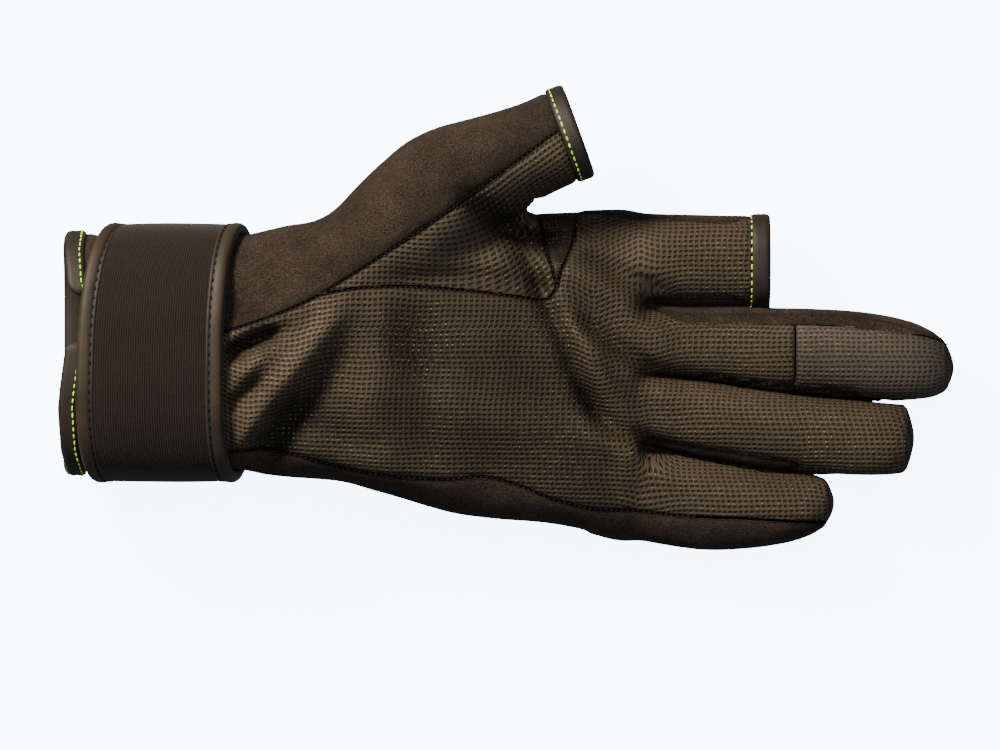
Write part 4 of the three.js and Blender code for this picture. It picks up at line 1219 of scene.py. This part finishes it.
for name, panel in panels.items():
    skin_cloth, slot_name, flat_cloth = PANEL_CLOTH.get(name, (neoprene, "neoprene", plain_cloth))
    dressed_panel(panel, flat_cloth)
    panel.data.materials.clear()
    panel.data.materials.append(skin_cloth)
    panel.data.materials.append(lining_cloth)
    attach(panel, "root")
    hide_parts(name)


# Hems of the three open ends
# The cuff, the thumb and the index are each turned over into a smooth rolled band of woven tape, sewn to
# the panels. The cuff's band stops at both sides of the slit.

skin_tree = BVHTree.FromPolygons(outer_points.tolist(), outer_quads.tolist())


def ring_round(centre, axis, count=240):
    """Points where the skin crosses a plane, and the way out of the cloth at each."""
    axis = np.array(axis, float)
    side = np.array([-axis[1], axis[0], 0.0])
    points, outs = [], []
    for turn in np.linspace(0, 2 * math.pi, count, endpoint=False):
        ray = side * math.cos(turn) + np.array([0, 0, 1]) * math.sin(turn)
        hit, normal, _, _ = skin_tree.ray_cast(Vector(centre), Vector(ray))
        out = np.array(normal) - axis * np.dot(axis, normal)
        points.append(np.array(hit))
        outs.append(out / np.linalg.norm(out))
    return np.array(points), np.array(outs)


def softened(values, rounds=6):
    """Values round a closed ring, evened out with their neighbours."""
    for _ in range(rounds):
        values = (np.roll(values, 1, 0) + 2 * values + np.roll(values, -1, 0)) / 4
    return values


def reach_along(points):
    """How far along a line each of its points lies."""
    return np.concatenate([[0], np.cumsum(np.linalg.norm(np.diff(points, axis=0), axis=1))])


def evenly(points, outs, count, closed):
    """The same line with its points at equal steps."""
    if closed:
        points = np.vstack([points, points[:1]])
        outs = np.vstack([outs, outs[:1]])
    reach = reach_along(points)
    stops = np.linspace(0, reach[-1], count, endpoint=not closed)
    points = np.column_stack([np.interp(stops, reach, column) for column in points.T])
    outs = np.column_stack([np.interp(stops, reach, column) for column in outs.T])
    return points, outs / np.linalg.norm(outs, axis=1)[:, None]


def faced_out(points, faces):
    """Turn the faces over if they look inward."""
    volume = 0.0
    for face in faces:
        a = points[face[0]]
        for i, j in zip(face[1:-1], face[2:]):
            volume += np.dot(a, np.cross(points[i], points[j]))
    return [list(face)[::-1] for face in faces] if volume < 0 else faces


ROUNDED_END = (0.30, 0.62, 0.82, 0.93)
BAND_CREASE = math.radians(60)


def band_mesh(name, rings, closed, around, across, material):
    """A closed skin over a row of profile loops, one loop to a station."""
    stations, corners = rings.shape[:2]
    if not closed:
        for k, scale in enumerate(ROUNDED_END):
            for station in (k, stations - 1 - k):
                middle = rings[station].mean(axis=0)
                rings[station] = middle + (rings[station] - middle) * scale
    points = rings.reshape(-1, 3)
    faces = []
    for i in range(stations if closed else stations - 1):
        j = (i + 1) % stations
        for k in range(corners):
            following = (k + 1) % corners
            faces.append([i * corners + k, i * corners + following,
                          j * corners + following, j * corners + k])
    if not closed:
        faces.append(list(range(corners))[::-1])
        faces.append([(stations - 1) * corners + k for k in range(corners)])
    made = plain_object(name, points, faced_out(points, faces))
    mesh = made.data
    note = mesh.attributes.new("cloth", "FLOAT_VECTOR", "POINT")
    flat = np.zeros((len(points), 3), np.float32)
    flat[:, 0] = np.repeat(around, corners)
    flat[:, 1] = np.tile(across, stations)
    flat[:, 2] = FAR_FROM_SEAM
    note.data.foreach_set("vector", flat.ravel())
    mesh.polygons.foreach_set("use_smooth", np.ones(len(mesh.polygons), bool))
    mesh.set_sharp_from_angle(angle=BAND_CREASE)
    mesh.materials.append(material)
    return made


# Tape in millimetres: its twill along and across, its cloudiness, its grain and the depth of its surface
TWILL_ALONG = 0.827
TWILL_ACROSS = 0.509
TAPE_CLOUD = 13.3
TAPE_GRAIN = 1.11
TAPE_DEPTH = 0.07


def tape_material(name, light, dark, groove=None):
    """Smooth woven tape: a low even sheen with a faint slanting grain, and painted shade in the groove where
    it is sewn down.
    """
    material, tree, shader = new_material(name, {"Specular IOR Level": 0.22, "Roughness": 0.6,
                                                 "Sheen Weight": 0.03, "Sheen Roughness": 0.4})
    node = partial(add_node, tree)
    flat, _ = cloth_notes(tree)
    place = node("ShaderNodeTexCoord", out="Object")
    slant = (2 * math.pi / TWILL_ALONG, 2 * math.pi / TWILL_ACROSS, 0.0)
    twill = node("ShaderNodeVectorMath", (flat, slant), "Value", operation="DOT_PRODUCT")
    twill = node("ShaderNodeMath", (twill,), operation="SINE")
    cloudy = node("ShaderNodeTexNoise", {"Vector": place, "Scale": to_a_metre(TAPE_CLOUD), "Detail": 3.0})
    grain = node("ShaderNodeTexNoise", {"Vector": place, "Scale": to_a_metre(TAPE_GRAIN), "Detail": 3.0})
    pale = node("ShaderNodeMapRange", (cloudy, 0.3, 0.72), **EASED)
    grit = node("ShaderNodeMath", (grain, 0.45), operation="MULTIPLY")
    layers = [(pale, light), (grit, dark)]
    # The stitch groove is painted dark, as shade in it
    if groove:
        across = node("ShaderNodeSeparateXYZ", (flat,), "Y")
        off = node("ShaderNodeMath", (across, groove), operation="SUBTRACT")
        off = node("ShaderNodeMath", (off,), operation="ABSOLUTE")
        layers.append((node("ShaderNodeMapRange", (off, 0.7, 0.3, 0.0, 0.8), **EASED), "#080605"))
    tone = hex_colour(dark)
    for share, colour in layers:
        tone = node("ShaderNodeMix", {SHARE: share, FIRST: tone, SECOND: hex_colour(colour)}, MIXED,
                    data_type="RGBA")
    height = node("ShaderNodeMath", (twill, 0.16, grain), operation="MULTIPLY_ADD")
    bump = node("ShaderNodeBump", {"Strength": 1.0, "Distance": TAPE_DEPTH * MM, "Height": height})
    feed(shader, {"Base Color": tone, "Normal": bump})
    return material


# The band's section: how far it runs past the panel's end, and how far it stands out of the cloth
HEM_PROFILE = [(-0.50, -0.90), (-0.48, -0.12), (-0.30, 0.22), (0.10, 0.42), (1.10, 0.55), (2.00, 0.50),
               (3.00, 0.56), (3.80, 0.50), (4.40, 0.22), (4.75, -0.35), (4.80, -1.05), (4.55, -1.75),
               (3.90, -2.15), (2.20, -2.25), (0.60, -2.20), (0.00, -2.05), (0.00, -1.10)]
hem_tape = tape_material("hem_tape", "#1E1811", "#120E0A")


def hem(name, node, points, outs, way, closed):
    rings = np.array([
        [point + np.array(way) * a + out * n for a, n in HEM_PROFILE] for point, out in zip(points, outs)
    ])
    rings = pulled(rings)
    made = band_mesh(name, rings, closed, reach_along(points), reach_along(HEM_PROFILE), hem_tape)
    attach(made, "root")
    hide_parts(node)
    return made


def open_ring(points, outs, keep):
    """Drop the part of a ring that is cut away and start the line behind the cut."""
    start = int(np.nonzero(~keep & np.roll(keep, -1))[0][0]) + 1
    order = np.roll(np.arange(len(points)), -start)
    order = order[keep[order]]
    return points[order], outs[order]


CUFF_DEPTH = CUFF_SECTIONS["palm"][0] * WRIST_DEPTH
CUFF_MIDDLE = (HEM_MIDDLE, CUFF_LIFT + CUFF_DEPTH * (1 - FULL_DEPTH / 2))


def cuff_ring(x, margin):
    points, outs = ring_round((x, *CUFF_MIDDLE), (-1, 0, 0), 900)
    keep = (np.abs(points[:, 1]) > SLIT_HALF + margin) | (points[:, 2] < CUFF_MIDDLE[1])
    return open_ring(points, softened(outs), keep)


points, outs = evenly(*cuff_ring(HEM_WIDTH, 0.0), 320, False)
hem("cuff_hem_band", "cuff_hem", points, outs, (-1, 0, 0), False)

thumb_way = np.array([*THUMB_END_WAY, 0.0])
thumb_share = 1 - HEM_WIDTH / THUMB_LENGTH


def thumb_ring(back_from_end):
    flat = thumb_spot(1.0, 0.0) - back_from_end * thumb_way[:2]
    return ring_round((*flat, follow(THUMB, "rise", thumb_share) * THUMB_DEPTH), thumb_way)


points, outs = evenly(*thumb_ring(HEM_WIDTH), 180, True)
hem("thumb_hem_band", "thumb_hem", softened(points, 3), softened(outs), thumb_way, True)

INDEX = FINGERS["index"]
index_spot = (float(finger_middle(INDEX, INDEX_END)),
              float(follow(INDEX["sections"], "rise", 0.9)) * FINGER_DEPTH)
points, outs = evenly(*ring_round((INDEX_END + SEAM_GAP, *index_spot), (1, 0, 0)), 160, True)
hem("index_hem_band", "index_hem", softened(points, 3), softened(outs), (1, 0, 0), True)

# Stitches of the hems and seams
# Short raised stitches of polyester thread, sewn through the cloth: bright green ones along each hem, and
# dark ones sunk into the seams between the panels. Each row is a line that Geometry Nodes set with stitches.


def stitch_tree():
    """A row of short thread stitches along a line, lying on the cloth."""
    tree = bpy.data.node_groups.new("stitch_row", "GeometryNodeTree")
    tree.is_modifier = True
    face = tree.interface
    face.new_socket("Geometry", in_out="INPUT", socket_type="NodeSocketGeometry")
    for label in ("Pitch", "Stitch Length", "Stitch Width", "Stitch Height", "Unevenness"):
        face.new_socket(label, in_out="INPUT", socket_type="NodeSocketFloat")
    face.new_socket("Seed", in_out="INPUT", socket_type="NodeSocketInt")
    face.new_socket("Thread", in_out="INPUT", socket_type="NodeSocketMaterial")
    face.new_socket("Geometry", in_out="OUTPUT", socket_type="NodeSocketGeometry")
    given = tree.nodes.new("NodeGroupInput").outputs
    node = partial(add_node, tree)
    line = node("GeometryNodeMeshToCurve", {"Mesh": given["Geometry"]})
    steps = node("GeometryNodeResampleCurve", {"Curve": line, "Length": given["Pitch"]}, mode="LENGTH")
    size = node("ShaderNodeCombineXYZ", [given["Stitch " + side] for side in ("Length", "Width", "Height")])
    half_size = node("ShaderNodeVectorMath", (size, (0.5, 0.5, 0.5)), operation="MULTIPLY")
    ball = node("GeometryNodeMeshUVSphere", {"Segments": 10, "Rings": 7, "Radius": 1.0}, "Mesh")
    stitch = node("GeometryNodeTransform", {"Geometry": ball, "Scale": half_size})
    tangent = node("GeometryNodeInputTangent")
    up = node("GeometryNodeInputNamedAttribute", {"Name": "up"}, "Attribute", data_type="FLOAT_VECTOR")
    turned = node("FunctionNodeAlignRotationToVector", {"Vector": tangent}, axis="X")
    turned = node("FunctionNodeAlignRotationToVector", {"Rotation": turned, "Vector": up}, axis="Z",
                  pivot_axis="X")
    least = node("ShaderNodeMath", (1.0, given["Unevenness"]), operation="SUBTRACT")
    most = node("ShaderNodeMath", (1.0, given["Unevenness"]), operation="ADD")
    # Inputs 2 and 3 are the least and the most of a float, and output 1 is the float drawn
    uneven = node("FunctionNodeRandomValue", {2: least, 3: most, "Seed": given["Seed"]}, 1,
                  data_type="FLOAT")
    placed = node("GeometryNodeInstanceOnPoints", {"Points": steps, "Instance": stitch, "Rotation": turned,
                                                   "Scale": uneven})
    real = node("GeometryNodeRealizeInstances", {"Geometry": placed})
    smooth = node("GeometryNodeSetShadeSmooth", {"Geometry": real})
    threaded = node("GeometryNodeSetMaterial", {"Geometry": smooth, "Material": given["Thread"]})
    tree.links.new(threaded, tree.nodes.new("NodeGroupOutput").inputs["Geometry"])
    return tree


STITCHES = stitch_tree()


def stitch_row(name, lines, pitch, size, thread, closed=False, uneven=0.1):
    """Stitches along lines of points in millimetres, each with the way out of the cloth."""
    mesh = bpy.data.meshes.new(name)
    edges = []
    count = 0
    for points, _ in lines:
        edges += [(count + i, count + i + 1) for i in range(len(points) - 1)]
        if closed:
            edges.append((count + len(points) - 1, count))
        count += len(points)
    mesh.from_pydata(into_frame(np.vstack([points for points, _ in lines])).tolist(), edges, [])
    note = mesh.attributes.new("up", "FLOAT_VECTOR", "POINT")
    note.data.foreach_set("vector", np.vstack([ups for _, ups in lines]).astype(np.float32).ravel())
    line = bpy.data.objects.new(name, mesh)
    bpy.context.collection.objects.link(line)
    step = line.modifiers.new("stitches", "NODES")
    step.node_group = STITCHES
    values = {"Pitch": pitch * MM, "Stitch Length": size[0] * MM, "Stitch Width": size[1] * MM,
              "Stitch Height": size[2] * MM, "Unevenness": uneven, "Seed": 7, "Thread": thread}
    for item in STITCHES.interface.items_tree:
        if item.in_out == "INPUT" and item.name in values:
            step[item.identifier] = values[item.name]
    seen = line.evaluated_get(bpy.context.evaluated_depsgraph_get())
    line.data = bpy.data.meshes.new_from_object(seen)
    line.modifiers.clear()
    bpy.data.meshes.remove(mesh)
    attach(line, "root")
    return line


# Thread in millimetres: the breadth of a strand and the depth between two
STRAND = 0.4
STRAND_DEPTH = 0.1


def thread_material(name, colour, deep):
    """Twisted polyester thread: matt, with darker lines between its strands."""
    material, tree, shader = new_material(name, {"Specular IOR Level": 0.12, "Roughness": 0.8})
    node = partial(add_node, tree)
    place = node("ShaderNodeTexCoord", out="Object")
    strands = node("ShaderNodeTexNoise", {"Vector": place, "Scale": to_a_metre(STRAND)})
    share = node("ShaderNodeMapRange", (strands, 0.35, 0.65), **EASED)
    tone = node("ShaderNodeMix", {SHARE: share, FIRST: hex_colour(deep), SECOND: hex_colour(colour)}, MIXED,
                data_type="RGBA")
    bump = node("ShaderNodeBump", {"Strength": 1.0, "Distance": STRAND_DEPTH * MM, "Height": strands})
    feed(shader, {"Base Color": tone, "Normal": bump})
    return material


green_thread = thread_material("green_thread", "#B6E84E", "#7FB02C")
black_thread = thread_material("black_thread", "#0A0807", "#030202")
seam_thread = thread_material("seam_thread", "#231C15", "#120E0A")
GREEN_STITCH = (1.5, 0.5, 0.45)
# Where a row of stitches lies from the panel's end, along and out of the cloth
ON_HEM = (0.70, 0.55)
BESIDE_HEM = (-0.2, 0.05)
for name, (points, outs), way, (along, lift), closed, pitch in (
    ("cuff_hem_thread", cuff_ring(HEM_WIDTH, 2.0), (-1, 0, 0), ON_HEM, False, 2.07),
    ("thumb_hem_thread", thumb_ring(HEM_WIDTH), thumb_way, ON_HEM, True, 2.15),
    ("index_hem_thread", ring_round((INDEX_END, *index_spot), (1, 0, 0)), (1, 0, 0), BESIDE_HEM, True, 2.35),
):
    points, outs = evenly(points, softened(outs), 240, closed)
    line = pulled(points + np.array(way) * along + outs * lift)
    stitch_row(name, [(line, outs)], pitch, GREEN_STITCH, green_thread, closed)

SEAM_SINK = 0.32
SEAM_PITCH = 1.55
SEAM_STITCH = (1.05, 0.34, 0.30)


def draped(line):
    """A plan line laid on the palm side of the skin, with the way out of the cloth."""
    runs = [[]]
    before_hem = (line - thumb_spot(thumb_share, 0.0)) @ thumb_way[:2] < -SEAM_GAP
    for x, y in line[before_hem]:
        hit, normal, _, _ = skin_tree.ray_cast(Vector((x, y, TALL)), Vector((0, 0, -1)))
        if hit is None or hit.z < SEAM_HEIGHT or (runs[-1] and (hit - runs[-1][-1][0]).length > 4):
            runs.append([])
        if hit is not None and hit.z > SEAM_HEIGHT:
            runs[-1].append((hit, normal))
    run = max(runs, key=len)
    outs = np.array([normal for _, normal in run])
    return np.array([hit for hit, _ in run]) - outs * SEAM_SINK, outs


seam_lines = [draped(smooth_line(line, 4)) for line in (
    THUMB_SEAM[::4], PALM_SEAM[::4], GUSSET_LEFT[::4], GUSSET_RIGHT[::4], LITTLE_SEAM[::4])]
seam_lines = [(points, outs) for points, outs in seam_lines if len(points) > 1]
stitch_row("seam_thread", seam_lines, SEAM_PITCH, SEAM_STITCH, seam_thread)

# Wrist strap
# A ribbed elastic band wound round the cuff and lapped over itself at the back, with a stitched
# binding along both long edges and a hook pad between the laps.

STRAP_CENTRE = np.array([-9.45, 28.32])
STRAP_HALF = np.array([32.83, 22.12])
STRAP_FLOOR = 8.3
STRAP_START = math.radians(-112)
STRAP_LAP = 34.0 / STRAP_HALF[0]
STRAP_END = STRAP_START + 2 * math.pi + STRAP_LAP
STRAP_STEP = 4.8
RISE = math.radians(26)
LAYER_GAP = 0.3
# Each edge's place along the glove, and how far the wrapped strap slants with the height and across
WRIST_EDGE = (11.6, -6.2, 1.9)
HAND_EDGE = (50.4, -4.4, 0.9)


def strap_edge(edge, angle):
    """Where an edge of the strap lies along the glove at an angle round the wrist."""
    return edge[0] + edge[1] * np.sin(angle) + edge[2] * np.cos(angle)


def strap_place(angle, x, over):
    """A point on the wound strap: its angle round the wrist, its x, and its height over the cuff."""
    start = STRAP_START + 2 * math.pi - 1.6 * RISE
    grow = LAYER_GAP + over + STRAP_STEP * smooth_step(start, start + RISE, angle)
    cosine, sine = np.cos(angle), np.sin(angle)
    y = STRAP_CENTRE[0] + np.sign(cosine) * np.abs(cosine) ** (2 / BODY_SQUARE) * (STRAP_HALF[0] + grow)
    z = STRAP_CENTRE[1] + np.sign(sine) * np.abs(sine) ** (2 / BODY_SQUARE) * (STRAP_HALF[1] + grow)
    z = np.maximum(z, STRAP_FLOOR - grow)
    return np.stack(np.broadcast_arrays(x, y, z), axis=-1)


fine_angles = np.linspace(STRAP_START, STRAP_END, 6000)
fine_reach = reach_along(strap_place(fine_angles, 0.0, 1.0))
STRAP_STATIONS = 420
strap_angles = np.interp(np.linspace(0, fine_reach[-1], STRAP_STATIONS), fine_reach, fine_angles)
strap_reach = np.interp(strap_angles, fine_angles, fine_reach)
wrist_line = strap_edge(WRIST_EDGE, strap_angles)[:, None]
hand_line = strap_edge(HAND_EDGE, strap_angles)[:, None]


# Webbing in millimetres: its ribs, the beads along a rib, its fuzz, its cloudiness and the depth of a rib
RIB_PITCH = 0.62
BEAD_PITCH = 0.85
STRAP_FUZZ = 0.588
STRAP_CLOUD = 18.2
RIB_DEPTH = 0.12


def rib_material():
    """Elastic webbing: fine ribs along the strap, nearly black, with a matt knit face."""
    material, tree, shader = new_material("strap_rib_cloth", {
        "Specular IOR Level": 0.15, "Roughness": 0.9, "Sheen Weight": 0.1, "Sheen Roughness": 0.4})
    node = partial(add_node, tree)
    flat, _ = cloth_notes(tree)
    place = node("ShaderNodeTexCoord", out="Object")
    waves = []
    for side, pitch, strength in (("Y", RIB_PITCH, 0.5), ("X", BEAD_PITCH, 0.07)):
        wave = node("ShaderNodeSeparateXYZ", (flat,), side)
        wave = node("ShaderNodeMath", (wave, 2 * math.pi / pitch), operation="MULTIPLY")
        wave = node("ShaderNodeMath", (wave,), operation="SINE")
        waves.append(node("ShaderNodeMath", (wave, strength), operation="MULTIPLY"))
    knit = node("ShaderNodeMath", waves, operation="ADD")
    fuzz = node("ShaderNodeTexNoise", {"Vector": place, "Scale": to_a_metre(STRAP_FUZZ), "Detail": 3.0,
                                       "Roughness": 0.6})
    cloudy = node("ShaderNodeTexNoise", {"Vector": place, "Scale": to_a_metre(STRAP_CLOUD), "Detail": 3.0})
    height = node("ShaderNodeMath", (knit, fuzz), operation="ADD")
    ribbed = node("ShaderNodeMapRange", (height, -0.1, 1.2), **EASED)
    cloud = node("ShaderNodeMapRange", (cloudy, 0.35, 0.7, 0.0, 0.3), **EASED)
    tone = hex_colour("#060403")
    for share, colour in ((ribbed, "#1D150E"), (cloud, "#120F0C")):
        tone = node("ShaderNodeMix", {SHARE: share, FIRST: tone, SECOND: hex_colour(colour)}, MIXED,
                    data_type="RGBA")
    bump = node("ShaderNodeBump", {"Strength": 1.0, "Distance": RIB_DEPTH * MM, "Height": height})
    feed(shader, {"Base Color": tone, "Normal": bump})
    return material


CLOTH_TUCK = 4.5
CLOTH_LOW = 0.4
CLOTH_HIGH = 2.8
CLOTH_WIDTH = 29.0
CROWN = 0.30
RIPPLE = 0.10
RIPPLE_LENGTH = 9.0
COLUMNS = 30
share = np.linspace(0, 1, COLUMNS)
crown = CLOTH_HIGH + CROWN * np.sin(math.pi * share) ** 0.5
over = np.concatenate([crown, np.full(COLUMNS, CLOTH_LOW)])
share = np.concatenate([share, share[::-1]])
cloth_x = (wrist_line + CLOTH_TUCK) * (1 - share) + (hand_line - CLOTH_TUCK) * share
ripple = RIPPLE * np.sin(strap_reach[:, None] / RIPPLE_LENGTH + 3 * share) * np.sin(math.pi * share)
rings = strap_place(strap_angles[:, None], cloth_x, over + ripple)
strap_cloth = band_mesh("strap_elastic", rings, False, strap_reach, share * CLOTH_WIDTH, rib_material())
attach(strap_cloth, "root")
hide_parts("strap")

# The binding's section, from the strap's edge inwards and out from the cuff, with a groove for the stitches
BINDING_PROFILE = [(0.00, 1.20), (0.08, 2.05), (0.45, 2.78), (1.10, 3.18), (1.90, 3.28), (2.80, 3.20),
                   (3.35, 3.02), (3.70, 2.84), (3.95, 2.84), (4.20, 3.02), (4.50, 3.02), (4.72, 2.90),
                   (4.80, 2.60), (4.80, 0.30), (4.40, 0.05), (0.70, 0.05), (0.15, 0.40)]
PROFILE_TOP = 12
STITCH_INSET = 3.83
STITCH_REACH = float(np.interp(STITCH_INSET, [inset for inset, _ in BINDING_PROFILE[:PROFILE_TOP]],
                               reach_along(BINDING_PROFILE)[:PROFILE_TOP]))
THREAD_LEVEL = 2.86
BINDING_PITCH = 2.6
BINDING_STITCH = (1.35, 0.85, 0.45)
binding_tape = tape_material("binding_tape", "#2A2116", "#19130C", STITCH_REACH)
profile = np.array(BINDING_PROFILE)
for node, line, way in (("strap_binding_wrist", wrist_line, 1), ("strap_binding_hand", hand_line, -1)):
    rings = strap_place(strap_angles[:, None], line + way * profile[None, :, 0], profile[None, :, 1])
    binding = band_mesh(node.replace("strap_", ""), rings, False, strap_reach, reach_along(profile),
                        binding_tape)
    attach(binding, "root")
    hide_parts(node)
    within = slice(6, -6)
    row_x = (line[:, 0] + way * STITCH_INSET)[within]
    row = strap_place(strap_angles[within], row_x, THREAD_LEVEL)
    ups = strap_place(strap_angles[within], row_x, THREAD_LEVEL + 1) - row
    stitch_row(node + "_thread", [(row, ups)], BINDING_PITCH, BINDING_STITCH, black_thread)

# Hook pad
# A thin moulded pad of nylon hooks between the strap's laps, sewn to the outer lap: a dull black field of
# tiny knobs. It is the frame's own solid, and only its material is set here.

HOOK_SPACING = 1.11
HOOK_DEPTH = 0.4

hook_plastic, tree, shader = new_material("hook_nylon", {"Roughness": 0.5, "Specular IOR Level": 0.4})
place = add_node(tree, "ShaderNodeTexCoord", out="Object")
hooks = add_node(tree, "ShaderNodeTexVoronoi", {"Vector": place, "Scale": to_a_metre(HOOK_SPACING)},
                 "Distance")
tone = add_node(tree, "ShaderNodeMix", {SHARE: hooks, FIRST: hex_colour("#2A2725"),
                                        SECOND: hex_colour("#0D0C0B")}, MIXED, data_type="RGBA")
bump = add_node(tree, "ShaderNodeBump", {"Strength": 1.0, "Distance": HOOK_DEPTH * MM, "Height": hooks})
feed(shader, {"Base Color": tone, "Normal": bump})
hook_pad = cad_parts["hook_pad"]
hook_pad.data.materials.clear()
hook_pad.data.materials.append(hook_plastic)
